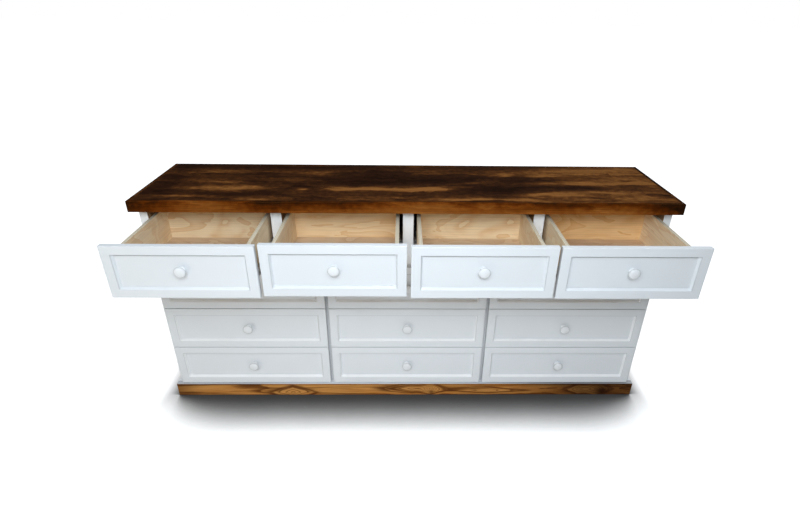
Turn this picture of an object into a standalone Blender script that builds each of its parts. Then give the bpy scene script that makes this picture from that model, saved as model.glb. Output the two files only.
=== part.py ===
"""Long chest of drawers: one row of four drawers over three rows of three.

Metres, +Z up. The origin is on the floor under the middle of the plinth, +X runs to the right as one
faces the chest, and the drawers open towards -Y. The upper row stands open and the lower rows are shut.
"""
import math

import bmesh
import bpy
from mathutils import Vector

# Overall sizes
WIDTH = 1.900
HEIGHT = 0.882
BASE_DEPTH = 0.389
TOP_OVERHANG = 0.021
END_OVERHANG = 0.012

# Boards
TOP_THICK = 0.040
EDGING_WIDTH = 0.012
PLINTH_HEIGHT = 0.060
PLINTH_THICK = 0.018
BOTTOM_THICK = 0.018
SIDE_THICK = 0.028
DIVIDER_THICK = 0.038
SHELF_THICK = 0.038
BACK_THICK = 0.006

# Drawer fronts, and the gaps above, between and below their rows
FRONT_THICK = 0.018
FRONT_SETBACK = 0.004
FRAME_WIDTH = 0.030
SLOPE_RUN = 0.005
PANEL_RECESS = 0.009
TOP_GAP = 0.0095
SHELF_SHOW = 0.0345
ROW_GAP = 0.003
PLINTH_GAP = 0.004

# Drawer boxes
WALL_THICK = 0.012
BOX_RISE = 0.016
BOX_DROP = 0.024
BOX_BACK_GAP = 0.0107
DRAWER_BOTTOM_RISE = 0.0125
DRAWER_BOTTOM_THICK = 0.006

# Slides: a track of two lips on the cabinet, and a bar on the drawer that runs between them
SLIDE_SPACE = 0.0127
TRACK_HEIGHT = 0.042
TRACK_RISE = 0.030
TRACK_SETBACK = 0.004
LIP_THICK = 0.002
LIP_REACH = 0.0112
BAR_REACH = 0.0117

# Knobs: a flat cap, widest at its rim, on a neck with a round foot
KNOB_RADIUS = 0.019
KNOB_RIM = 0.016
KNOB_CROWN = 0.0065
KNOB_UNDERSIDE = 0.0035
KNOB_ARC = math.radians(150)
KNOB_ARC_STEPS = 10
KNOB_FOOT_RADIUS = 0.0125
KNOB_FOOT_HEIGHT = 0.003
KNOB_SIDES = 24

# Clearance between touching pieces, the depth a joined block is rooted, and the weld on a turned seam
FIT = 0.0003
ROOT = 0.001
WELD = 0.00001

# Layout: how far each upper drawer stands open, how far each front laps the boards beside its
# opening, and how far the upper knobs stand above the middle of their panels
UPPER_COLUMNS = 4
LOWER_COLUMNS = 3
LOWER_ROWS = 3
UPPER_OPENINGS = (0.256, 0.246, 0.254, 0.256)
UPPER_OVERLAYS = (0.018, 0.0125, 0.0125, 0.018)
LOWER_OVERLAYS = (0.0145, 0.011, 0.0145)
UPPER_KNOB_RISE = 0.006

# Planes worked out from the sizes above
BASE_FRONT = -BASE_DEPTH / 2
BASE_BACK = BASE_DEPTH / 2
FACE_PLANE = BASE_FRONT + FRONT_SETBACK
CARCASS_FRONT = FACE_PLANE + FRONT_THICK + FIT
BACK_FACE = BASE_BACK - BACK_THICK
CARCASS_BACK = BACK_FACE - FIT
TOP_UNDERSIDE = HEIGHT - TOP_THICK
TOP_FRONT = BASE_FRONT - TOP_OVERHANG
CARCASS_FOOT = PLINTH_HEIGHT + FIT
CARCASS_HEAD = TOP_UNDERSIDE - FIT
CARCASS_WIDTH = WIDTH - 2 * END_OVERHANG
INSIDE_WIDTH = CARCASS_WIDTH - 2 * SIDE_THICK
LOWEST_FRONT_BASE = PLINTH_HEIGHT + PLINTH_GAP
UPPER_FRONT_HEAD = TOP_UNDERSIDE - TOP_GAP
ROW_GAPS = SHELF_SHOW + (LOWER_ROWS - 1) * ROW_GAP
FRONT_HEIGHT = (UPPER_FRONT_HEAD - LOWEST_FRONT_BASE - ROW_GAPS) / (LOWER_ROWS + 1)
ROW_PITCH = FRONT_HEIGHT + ROW_GAP
UPPER_FRONT_BASE = UPPER_FRONT_HEAD - FRONT_HEIGHT
SHELF_MIDDLE = UPPER_FRONT_BASE - SHELF_SHOW / 2
SHELF_FOOT = SHELF_MIDDLE - SHELF_THICK / 2
SHELF_HEAD = SHELF_MIDDLE + SHELF_THICK / 2
BOX_HEIGHT = FRONT_HEIGHT - BOX_RISE - BOX_DROP
BOX_LENGTH = BACK_FACE - BOX_BACK_GAP - CARCASS_FRONT
TRACK_MIDDLE = BOX_RISE + TRACK_RISE
BAR_HEIGHT = TRACK_HEIGHT - 2 * (LIP_THICK + FIT)

# Finishes: colour and roughness
PAINT = ((0.86, 0.86, 0.85, 1.0), 0.45)
STAIN = ((0.17, 0.07, 0.025, 1.0), 0.35)
PLYWOOD = ((0.74, 0.56, 0.36, 1.0), 0.6)


def clear_scene():
    """Remove every object, so that the file holds the chest alone."""
    for item in list(bpy.data.objects):
        bpy.data.objects.remove(item, do_unlink=True)


def new_collection(name):
    """Add a collection under the scene's own and return it."""
    collection = bpy.data.collections.new(name)
    bpy.context.scene.collection.children.link(collection)
    return collection


def new_material(name, colour, roughness):
    """Return a plain shaded material of one colour."""
    material = bpy.data.materials.new(name)
    material.use_nodes = True
    shader = material.node_tree.nodes["Principled BSDF"]
    shader.inputs["Base Color"].default_value = colour
    shader.inputs["Roughness"].default_value = roughness
    return material


def add_block(bm, low, high):
    """Add a cuboid between two corners to a mesh under construction."""
    made = bmesh.ops.create_cube(bm, size=1.0)
    low, high = Vector(low), Vector(high)
    bmesh.ops.scale(bm, vec=high - low, verts=made["verts"])
    bmesh.ops.translate(bm, vec=(low + high) / 2, verts=made["verts"])


def facing(faces, direction):
    """Return, in a list, the face that looks most nearly along a direction."""
    return [max(faces, key=lambda face: face.normal.dot(Vector(direction)))]


class Workshop:
    """Turns meshes into named objects, in the chest's collection or the cutters'."""

    def __init__(self):
        self.parts = new_collection("chest_of_drawers")
        self.cutters = new_collection("joining_blocks")

    def place(self, name, bm, material, parent=None):
        """Make a part from a mesh under construction, hung from a parent if one is given."""
        mesh = bpy.data.meshes.new(name)
        bm.normal_update()
        bm.to_mesh(mesh)
        bm.free()
        mesh.materials.append(material)
        part = bpy.data.objects.new(name, mesh)
        part.parent = parent
        self.parts.objects.link(part)
        return part

    def board(self, name, low, high, material):
        """Make a plain board between two corners."""
        bm = bmesh.new()
        add_block(bm, low, high)
        return self.place(name, bm, material)

    def empty(self, name, location):
        """Make an empty that carries the pieces of one drawer."""
        carrier = bpy.data.objects.new(name, None)
        carrier.location = location
        self.parts.objects.link(carrier)
        return carrier

    def join_blocks(self, part, blocks):
        """Join cuboids to a part, each one rooted a little way inside it."""
        bm = bmesh.new()
        for low, high in blocks:
            add_block(bm, low, high)
        mesh = bpy.data.meshes.new(part.name + "_blocks")
        bm.to_mesh(mesh)
        bm.free()
        operand = bpy.data.objects.new(part.name + "_blocks", mesh)
        operand.parent = part.parent
        operand.hide_render = True
        operand.display_type = "WIRE"
        self.cutters.objects.link(operand)
        union = part.modifiers.new("join_blocks", "BOOLEAN")
        union.operation = "UNION"
        union.solver = "EXACT"
        union.object = operand


def column_layout(columns):
    """Return the opening's width and the middles of the openings and of the dividers for one row."""
    opening = (INSIDE_WIDTH - (columns - 1) * DIVIDER_THICK) / columns
    pitch = opening + DIVIDER_THICK
    middles = [(index - (columns - 1) / 2) * pitch for index in range(columns)]
    dividers = [middle + pitch / 2 for middle in middles[:-1]]
    return opening, middles, dividers


def track_lips(panel_x, inward, front_bases):
    """Return the lips of the slide tracks on one face of a panel, one pair per drawer.

    panel_x is the face's place, inward is +1 or -1 towards the drawers, and front_bases holds the
    height of the lower edge of each drawer's front.
    """
    near = panel_x - inward * ROOT
    far = panel_x + inward * LIP_REACH
    left, right = min(near, far), max(near, far)
    front = CARCASS_FRONT + TRACK_SETBACK
    back = CARCASS_FRONT + BOX_LENGTH
    blocks = []
    for base in front_bases:
        foot = base + TRACK_MIDDLE - TRACK_HEIGHT / 2
        head = foot + TRACK_HEIGHT
        blocks.append(((left, front, foot), (right, back, foot + LIP_THICK)))
        blocks.append(((left, front, head - LIP_THICK), (right, back, head)))
    return blocks


def build_top(shop, stain):
    """Make the top panel and the edging on its front and ends."""
    half = WIDTH / 2
    inner = half - EDGING_WIDTH
    edge_back = TOP_FRONT + EDGING_WIDTH
    panel_front = edge_back + FIT
    low, high = (-inner + FIT, panel_front, TOP_UNDERSIDE), (inner - FIT, BASE_BACK, HEIGHT)
    shop.board("top_panel", low, high, stain)
    shop.board("top_edging_front", (-half, TOP_FRONT, TOP_UNDERSIDE), (half, edge_back, HEIGHT), stain)
    shop.board("top_edging_left", (-half, panel_front, TOP_UNDERSIDE), (-inner, BASE_BACK, HEIGHT), stain)
    shop.board("top_edging_right", (inner, panel_front, TOP_UNDERSIDE), (half, BASE_BACK, HEIGHT), stain)


def build_plinth(shop, stain, paint):
    """Make the plinth's boards, its bearer and the bottom panel let in between them."""
    half = WIDTH / 2
    inner = half - PLINTH_THICK
    front_back = BASE_FRONT + PLINTH_THICK
    back_front = BASE_BACK - PLINTH_THICK
    end_front, end_back = front_back + FIT, back_front - FIT
    shop.board("plinth_front", (-half, BASE_FRONT, 0), (half, front_back, PLINTH_HEIGHT), stain)
    shop.board("plinth_back", (-half, back_front, 0), (half, BASE_BACK, PLINTH_HEIGHT), stain)
    shop.board("plinth_left", (-half, end_front, 0), (-inner, end_back, PLINTH_HEIGHT), stain)
    shop.board("plinth_right", (inner, end_front, 0), (half, end_back, PLINTH_HEIGHT), stain)
    panel_foot = PLINTH_HEIGHT - BOTTOM_THICK
    panel_half = inner - FIT
    low, high = (-panel_half, end_front, panel_foot), (panel_half, end_back, PLINTH_HEIGHT)
    shop.board("bottom_panel", low, high, paint)
    bearer_half = PLINTH_THICK / 2
    bearer_head = panel_foot - FIT
    shop.board("plinth_bearer", (-bearer_half, end_front, 0), (bearer_half, end_back, bearer_head), stain)


def build_carcass(shop, paint, plywood):
    """Make the sides, shelf, dividers and back, with the slide tracks on the upright panels."""
    half = CARCASS_WIDTH / 2
    inside = INSIDE_WIDTH / 2
    lower_bases = [LOWEST_FRONT_BASE + row * ROW_PITCH for row in range(LOWER_ROWS)]
    all_bases = lower_bases + [UPPER_FRONT_BASE]
    for name, outward in (("left_side_panel", -1), ("right_side_panel", 1)):
        ends = sorted((outward * inside, outward * half))
        low = (ends[0], CARCASS_FRONT, CARCASS_FOOT)
        high = (ends[1], CARCASS_BACK, CARCASS_HEAD)
        panel = shop.board(name, low, high, paint)
        shop.join_blocks(panel, track_lips(outward * inside, -outward, all_bases))
    shelf_half = inside - FIT
    low, high = (-shelf_half, CARCASS_FRONT, SHELF_FOOT), (shelf_half, CARCASS_BACK, SHELF_HEAD)
    shop.board("middle_shelf", low, high, paint)
    rows = (
        ("upper_divider", UPPER_COLUMNS, SHELF_HEAD + FIT, CARCASS_HEAD, [UPPER_FRONT_BASE]),
        ("lower_divider", LOWER_COLUMNS, CARCASS_FOOT, SHELF_FOOT - FIT, lower_bases),
    )
    for name, columns, foot, head, bases in rows:
        for number, middle in enumerate(column_layout(columns)[2], start=1):
            left, right = middle - DIVIDER_THICK / 2, middle + DIVIDER_THICK / 2
            low, high = (left, CARCASS_FRONT, foot), (right, CARCASS_BACK, head)
            divider = shop.board(f"{name}_{number}", low, high, paint)
            shop.join_blocks(divider, track_lips(left, -1, bases) + track_lips(right, 1, bases))
    shop.board("back_panel", (-half, BACK_FACE, CARCASS_FOOT), (half, BASE_BACK, CARCASS_HEAD), plywood)


def build_front(shop, name, width, paint, carrier):
    """Make a drawer front: a flat frame with a sloped inner edge down to a sunk panel."""
    bm = bmesh.new()
    add_block(bm, (-width / 2, 0, 0), (width / 2, FRONT_THICK, FRONT_HEIGHT))
    bm.normal_update()
    show = facing(bm.faces, (0, -1, 0))
    bmesh.ops.inset_region(bm, faces=show, thickness=FRAME_WIDTH)
    bmesh.ops.inset_region(bm, faces=show, thickness=SLOPE_RUN, depth=-PANEL_RECESS)
    return shop.place(name + "_front", bm, paint, carrier)


def sink_face(bm, direction, depth):
    """Cut a walled pocket into the one face that looks along a direction."""
    bm.normal_update()
    show = facing(bm.faces, direction)
    bmesh.ops.inset_region(bm, faces=show, thickness=WALL_THICK)
    floor = bmesh.ops.extrude_discrete_faces(bm, faces=show)["faces"]
    corners = list({vert for face in floor for vert in face.verts})
    bmesh.ops.translate(bm, vec=Vector(direction) * -depth, verts=corners)


def build_box(shop, name, width, plywood, carrier):
    """Make a drawer box: four walls, a bottom held above their lower edges, and a slide bar each side."""
    half = width / 2
    front = FRONT_THICK + FIT
    back = front + BOX_LENGTH
    bm = bmesh.new()
    add_block(bm, (-half, front, BOX_RISE), (half, back, BOX_RISE + BOX_HEIGHT))
    sink_face(bm, (0, 0, 1), BOX_HEIGHT - DRAWER_BOTTOM_RISE - DRAWER_BOTTOM_THICK)
    sink_face(bm, (0, 0, -1), DRAWER_BOTTOM_RISE)
    box = shop.place(name + "_box", bm, plywood, carrier)
    foot = TRACK_MIDDLE - BAR_HEIGHT / 2
    bars = []
    for side in (-1, 1):
        left, right = sorted((side * (half - ROOT), side * (half + BAR_REACH)))
        bars.append(((left, front + TRACK_SETBACK, foot), (right, back - TRACK_SETBACK, foot + BAR_HEIGHT)))
    shop.join_blocks(box, bars)
    return box


def knob_profile():
    """Return the knob's outline as (radius, distance from the panel), from its crown to its foot."""
    points = []
    for step in range(KNOB_ARC_STEPS + 1):
        angle = KNOB_ARC * step / KNOB_ARC_STEPS
        depth = KNOB_CROWN if angle < math.pi / 2 else KNOB_UNDERSIDE
        points.append((KNOB_RADIUS * math.sin(angle), KNOB_RIM + depth * math.cos(angle)))
    neck_radius = points[-1][0]
    points.append((neck_radius, KNOB_FOOT_HEIGHT))
    points.append((KNOB_FOOT_RADIUS, KNOB_FOOT_HEIGHT))
    points.append((KNOB_FOOT_RADIUS, 0.0))
    points.append((0.0, 0.0))
    return points


def build_knob(shop, name, rise, paint, carrier):
    """Make a turned knob that points towards -Y, at a rise above the middle of the sunk panel."""
    bm = bmesh.new()
    verts = [bm.verts.new((radius, 0, reach)) for radius, reach in knob_profile()]
    for first, second in zip(verts, verts[1:]):
        bm.edges.new((first, second))
    knob = shop.place(name + "_knob", bm, paint, carrier)
    knob.location = (0, PANEL_RECESS - FIT, FRONT_HEIGHT / 2 + rise)
    knob.rotation_euler = (math.pi / 2, 0, 0)
    turn = knob.modifiers.new("turn", "SCREW")
    turn.axis = "Z"
    turn.steps = KNOB_SIDES
    turn.render_steps = KNOB_SIDES
    turn.use_merge_vertices = True
    turn.merge_threshold = WELD
    turn.use_smooth_shade = True


def build_drawer(shop, name, place, opening, overlay, knob_rise, paint, plywood):
    """Make one drawer, whose front has the middle of its lower edge at a place."""
    carrier = shop.empty(name + "_slide", place)
    build_front(shop, name, opening + 2 * overlay, paint, carrier)
    build_box(shop, name, opening - 2 * SLIDE_SPACE, plywood, carrier)
    build_knob(shop, name, knob_rise, paint, carrier)


def build_drawers(shop, paint, plywood):
    """Make every drawer, row 1 at the top and column 1 at the left."""
    opening, middles, _ = column_layout(UPPER_COLUMNS)
    upper = zip(middles, UPPER_OPENINGS, UPPER_OVERLAYS)
    for column, (middle, pulled, overlay) in enumerate(upper, start=1):
        place = (middle, FACE_PLANE - pulled, UPPER_FRONT_BASE)
        build_drawer(shop, f"drawer_1_{column}", place, opening, overlay, UPPER_KNOB_RISE, paint, plywood)
    opening, middles, _ = column_layout(LOWER_COLUMNS)
    for row in range(LOWER_ROWS):
        base = LOWEST_FRONT_BASE + (LOWER_ROWS - 1 - row) * ROW_PITCH
        for column, (middle, overlay) in enumerate(zip(middles, LOWER_OVERLAYS), start=1):
            name = f"drawer_{row + 2}_{column}"
            build_drawer(shop, name, (middle, FACE_PLANE, base), opening, overlay, 0.0, paint, plywood)


def main():
    """Build the whole chest."""
    clear_scene()
    shop = Workshop()
    paint = new_material("white_paint", *PAINT)
    stain = new_material("stained_wood", *STAIN)
    plywood = new_material("plywood", *PLYWOOD)
    build_top(shop, stain)
    build_plinth(shop, stain, paint)
    build_carcass(shop, paint, plywood)
    build_drawers(shop, paint, plywood)


main()
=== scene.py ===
"""Looks for a long chest of drawers: one row of four drawers over three rows of three.

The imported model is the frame. Each of its solids is stood for by a finer piece made here in the same
place: boards with eased edges and their own grain, fronts with a sunk panel, turned knobs, plywood
boxes, and the steel slides, screws and nails that hold them. Metres, +Z up; drawers open towards -Y.
"""

import logging
import math
import zlib
from collections.abc import Callable, Sequence
from dataclasses import dataclass, field
from enum import Enum

import bmesh
import bpy
from mathutils import Euler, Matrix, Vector, noise


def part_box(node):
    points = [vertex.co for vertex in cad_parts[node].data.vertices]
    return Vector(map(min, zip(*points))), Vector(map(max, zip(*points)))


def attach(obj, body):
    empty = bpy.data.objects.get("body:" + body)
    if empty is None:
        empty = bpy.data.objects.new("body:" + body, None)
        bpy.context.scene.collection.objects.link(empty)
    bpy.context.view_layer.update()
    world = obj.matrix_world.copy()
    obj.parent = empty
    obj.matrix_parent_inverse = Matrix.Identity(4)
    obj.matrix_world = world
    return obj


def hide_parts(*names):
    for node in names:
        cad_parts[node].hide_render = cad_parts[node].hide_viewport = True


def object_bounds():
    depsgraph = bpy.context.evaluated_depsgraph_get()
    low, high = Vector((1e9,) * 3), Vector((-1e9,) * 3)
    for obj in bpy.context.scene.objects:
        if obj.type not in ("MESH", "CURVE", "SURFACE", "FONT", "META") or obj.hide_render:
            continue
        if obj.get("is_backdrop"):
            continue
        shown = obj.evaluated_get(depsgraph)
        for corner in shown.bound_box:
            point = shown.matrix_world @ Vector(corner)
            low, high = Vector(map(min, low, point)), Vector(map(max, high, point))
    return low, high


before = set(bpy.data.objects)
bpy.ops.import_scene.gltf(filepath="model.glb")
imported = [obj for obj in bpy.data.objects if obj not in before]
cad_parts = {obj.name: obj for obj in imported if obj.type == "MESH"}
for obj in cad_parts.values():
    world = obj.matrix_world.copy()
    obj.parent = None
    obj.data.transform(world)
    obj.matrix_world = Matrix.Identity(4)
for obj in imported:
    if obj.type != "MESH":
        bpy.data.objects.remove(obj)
CAD_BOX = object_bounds()
LOG = logging.getLogger("chest_of_drawers")
# The noise that bends the streaks starts from the clock unless it has a seed.
WAVE_SEED = 3

Colour = tuple[float, float, float]
Section = Sequence[tuple[float, float]]
Sides = tuple[float, float, float, float]
SlotRule = Callable[[Vector], int]


class Axis(Enum):
    """A direction in the chest, as an index into a point."""

    X = 0
    Y = 1
    Z = 2


class Slot(Enum):
    """The finishes that the record names."""

    STAINED = "stained_wood"
    WHITE = "white_paint"
    PLYWOOD = "plywood"


class Body(Enum):
    """The body that stands still; the drawers are bodies by their own names."""

    CARCASS = "carcass"


class Graph:
    """The node tree of one finish, with a short call for each kind of node."""

    def __init__(self, name: str) -> None:
        """Start a material with a shader of its own."""
        self.material = bpy.data.materials.new(name)
        self.material.use_nodes = True
        self.tree = self.material.node_tree
        self.shader = self.tree.nodes["Principled BSDF"]

    def feed(self, socket: bpy.types.NodeSocket, value: object) -> None:
        """Link a socket to another, or set its own value."""
        if isinstance(value, bpy.types.NodeSocket):
            self.tree.links.new(value, socket)
        elif isinstance(value, tuple) and socket.type == "RGBA":
            socket.default_value = (*value, 1.0)
        else:
            socket.default_value = value

    def node(self, kind: str, feeds: dict, **settings: object) -> bpy.types.Node:
        """Add a node.

        Args:
            kind: The node's type name.
            feeds: A value or a source socket for each input, by name or index.
            settings: The node's own properties.

        Returns:
            The new node.
        """
        made = self.tree.nodes.new(kind)
        for key, value in settings.items():
            setattr(made, key, value)
        for key, value in feeds.items():
            self.feed(made.inputs[key], value)
        return made

    def vector(self, name: str) -> bpy.types.NodeSocket:
        """Return a mark of the mesh that is a vector."""
        return self.node("ShaderNodeAttribute", {}, attribute_name=name).outputs["Vector"]

    def value(self, name: str) -> bpy.types.NodeSocket:
        """Return a mark of the mesh that is one number."""
        return self.node("ShaderNodeAttribute", {}, attribute_name=name).outputs["Fac"]

    def place(self) -> bpy.types.NodeSocket:
        """Return the place of the point in the chest."""
        return self.node("ShaderNodeTexCoord", {}).outputs["Object"]

    def split(self, vector: bpy.types.NodeSocket) -> bpy.types.NodeOutputs:
        """Return the three parts of a vector."""
        return self.node("ShaderNodeSeparateXYZ", {0: vector}).outputs

    def noise(
        self,
        vector: bpy.types.NodeSocket,
        stretch: tuple[float, float, float],
        detail: float = 2.0,
        distortion: float = 0.0,
        roughness: float = 0.5,
    ) -> bpy.types.NodeSocket:
        """Return smooth noise.

        Args:
            vector: The place that the noise is read at.
            stretch: How many waves go to a metre in each direction.
            detail: How many finer layers are added.
            distortion: How far the noise bends itself.
            roughness: How strong the finer layers are.

        Returns:
            A value between 0 and 1, mostly near 0.5.
        """
        scaled = self.node("ShaderNodeVectorMath", {0: vector, 1: stretch}, operation="MULTIPLY").outputs[0]
        feeds = {"Vector": scaled, "Scale": 1.0, "Detail": detail, "Roughness": roughness, "Distortion": distortion}
        return self.node("ShaderNodeTexNoise", feeds).outputs[0]

    def maths(self, operation: str, first: object, second: object = 0.0) -> bpy.types.NodeSocket:
        """Return the result of one sum."""
        return self.node("ShaderNodeMath", {0: first, 1: second}, operation=operation).outputs[0]

    def total(self, base: object, *shares: tuple[object, float]) -> bpy.types.NodeSocket:
        """Return a base value with other values added, each times its own factor."""
        for value, factor in shares:
            base = self.node("ShaderNodeMath", {0: value, 1: factor, 2: base}, operation="MULTIPLY_ADD").outputs[0]
        return base

    def span(
        self, value: object, low: float, high: float, start: float = 0.0, end: float = 1.0
    ) -> bpy.types.NodeSocket:
        """Return a value eased from one range into another.

        Args:
            value: The value to ease.
            low: Where the easing starts.
            high: Where it ends.
            start: The result at low and below it.
            end: The result at high and above it.

        Returns:
            The eased value.
        """
        feeds = {0: value, 1: low, 2: high, 3: start, 4: end}
        return self.node("ShaderNodeMapRange", feeds, interpolation_type="SMOOTHSTEP").outputs[0]

    def blend(self, share: object, first: object, second: object, mode: str = "MIX") -> bpy.types.NodeSocket:
        """Return two colours mixed by a share."""
        feeds = {0: share, 6: first, 7: second}
        return self.node("ShaderNodeMix", feeds, data_type="RGBA", blend_type=mode).outputs[2]

    def ramp(self, value: object, stops: Sequence[tuple[float, Colour]]) -> bpy.types.NodeSocket:
        """Return a colour that runs through several tones.

        Args:
            value: Where on the run the colour is read.
            stops: Each tone and its place, from 0 to 1.

        Returns:
            The colour.
        """
        made = self.node("ShaderNodeValToRGB", {0: value})
        elements = made.color_ramp.elements
        while len(elements) < len(stops):
            elements.new(1.0)
        for element, (place, colour) in zip(elements, stops):
            element.position = place
            element.color = (*colour, 1.0)
        return made.outputs[0]

    def relief(self, height: bpy.types.NodeSocket, strength: float, depth: float) -> None:
        """Let a height stand out of the surface."""
        feeds = {"Height": height, "Strength": strength, "Distance": depth}
        self.feed(self.shader.inputs["Normal"], self.node("ShaderNodeBump", feeds).outputs[0])

    def dress(self, colour: object, roughness: object, **constants: float) -> bpy.types.Material:
        """Feed the shader and hand over the material.

        Args:
            colour: The base colour.
            roughness: The roughness.
            constants: Values for the shader's other sockets, with _ for the spaces in their names.

        Returns:
            The finished material.
        """
        self.feed(self.shader.inputs["Base Color"], colour)
        self.feed(self.shader.inputs["Roughness"], roughness)
        for key, value in constants.items():
            self.shader.inputs[key.replace("_", " ")].default_value = value
        return self.material


@dataclass(frozen=True)
class Paint:
    """White furniture paint, rolled on: a faint stipple, a thinner film on eased edges and painted shade in seams and
    hollows.

    The figure mark keeps the painted shade of hollows off a face from 0 to 1, and from 1 to 2 it whitens a slope as
    painted light.
    """

    name: str
    full: Colour
    cloudy: Colour
    thin: Colour
    # The next colour is what seams and hollows darken towards as painted shade. The one after it is the whiter colour
    # of painted light on sunk slopes. The two values after the roughness set how strong that painted shade is and how
    # far it reaches.
    seam: Colour = (0.30, 0.31, 0.33)
    slope_painted_light: Colour = (0.91, 0.925, 0.94)
    roughness: float = 0.36
    painted_shade: float = 0.50
    painted_shade_reach: float = 0.015

    def material(self) -> bpy.types.Material:
        """Make the material."""
        graph = Graph(self.name)
        place = graph.place()
        cloud = graph.noise(place, (4.0, 4.0, 4.0), detail=3.0)
        stipple = graph.noise(place, (620.0, 620.0, 620.0), detail=1.5)
        drag = graph.noise(place, (18.0, 240.0, 240.0), detail=2.0)
        film = graph.blend(graph.span(cloud, 0.3, 0.7), self.full, self.cloudy)
        # The rim mark blends towards the thin colour: a thinner film on eased edges. On the knob, whose thin colour is
        # dark, it is painted shade on the cap's edge and neck.
        film = graph.blend(graph.maths("MULTIPLY", graph.value("rim"), 0.55), film, self.thin)
        # The stain mark blends towards the seam colour: on the drawer fronts it is painted shade along edges and seams.
        film = graph.blend(graph.value("stain"), film, self.seam)
        # Ambient occlusion darkens hollows, creases and gaps towards the seam colour as painted shade. It stays off
        # faces that look up and off faces whose figure mark is 1 or more.
        hollow = graph.node("ShaderNodeAmbientOcclusion", {"Distance": self.painted_shade_reach}, samples=12)
        facing = graph.split(graph.node("ShaderNodeNewGeometry", {}).outputs["Normal"])
        painted_shade = graph.span(hollow.outputs["AO"], 0.25, 0.95, self.painted_shade, 0.0)
        painted_shade = graph.maths("MULTIPLY", painted_shade, graph.span(facing[2], 0.2, 0.8, 1.0, 0.0))
        painted_shade = graph.maths("MULTIPLY", painted_shade, graph.span(graph.value("figure"), 0.0, 1.0, 1.0, 0.0))
        film = graph.blend(painted_shade, film, self.seam)
        # A figure mark between 1 and 2 whitens faces not turned to the front, the sunk slopes: painted light.
        whiter = graph.maths("MULTIPLY", graph.span(graph.value("figure"), 1.0, 2.0), graph.span(facing[1], -0.9, -0.6))
        film = graph.blend(whiter, film, self.slope_painted_light)
        sheen = graph.span(cloud, 0.25, 0.75, self.roughness - 0.05, self.roughness + 0.06)
        graph.relief(graph.total(stipple, (drag, 0.7)), 0.05, 0.0005)
        return graph.dress(film, sheen, Specular_IOR_Level=0.35)


@dataclass(frozen=True)
class StreakedStain:
    """Dark stain on pine: golden streaks with ragged ends lie along the grain, under satin varnish."""

    name: str
    tones: tuple[Colour, ...]
    places: tuple[float, ...] = (0.08, 0.30, 0.48, 0.66, 0.92)
    balance: float = 0.42
    contrast: float = 1.0
    sweep: float = 11.0

    def material(self) -> bpy.types.Material:
        """Make the material."""
        graph = Graph(self.name)
        grain = graph.vector("grain")
        across = graph.split(graph.vector("local"))[1]
        broad = graph.noise(grain, (1.2, 6.0, 6.0), detail=2.0, distortion=0.8)
        swirl = graph.noise(grain, (4.2, 10.0, 10.0), detail=4.0, distortion=1.2, roughness=0.55)
        ragged = graph.noise(grain, (9.0, 50.0, 50.0), detail=5.0, roughness=0.6)
        jagged = graph.noise(grain, (46.0, 52.0, 52.0), detail=3.0)
        fine = graph.noise(grain, (7.0, 620.0, 620.0), detail=3.0)
        pores = graph.noise(grain, (30.0, 950.0, 950.0), detail=1.0)
        level = graph.total(0.0, (across, -self.sweep), (broad, -2.6), (swirl, -1.8), (ragged, 0.3), (jagged, 0.4))
        ring = graph.maths("POWER", graph.maths("FRACT", level), 1.5)
        shares = ((broad, 0.65, 0.5), (swirl, 0.80, 0.5), (ragged, 0.36, 0.5), (ring, 0.16, 0.4), (jagged, 0.42, 0.5))
        base = self.balance - self.contrast * sum(share * usual for _, share, usual in shares)
        tone = graph.total(
            base, (graph.value("figure"), 0.74), *((value, share * self.contrast) for value, share, _ in shares)
        )
        colour = graph.ramp(tone, list(zip(self.places, self.tones)))
        lines = graph.span(fine, 0.40, 0.62, 0.70, 1.28)
        shade = graph.node("ShaderNodeCombineXYZ", {0: lines, 1: lines, 2: lines}).outputs[0]
        colour = graph.blend(0.7, colour, shade, "MULTIPLY")
        colour = graph.blend(graph.span(pores, 0.60, 0.72, 0.0, 0.4), colour, self.tones[0])
        colour = graph.blend(graph.maths("MULTIPLY", graph.value("rim"), 0.22), colour, self.tones[3])
        sheen = graph.span(graph.total(fine, (broad, 0.6)), 0.5, 1.1, 0.38, 0.54)
        graph.relief(graph.total(fine, (pores, -0.8)), 0.16, 0.0006)
        return graph.dress(colour, sheen, Specular_IOR_Level=0.0004)


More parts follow.
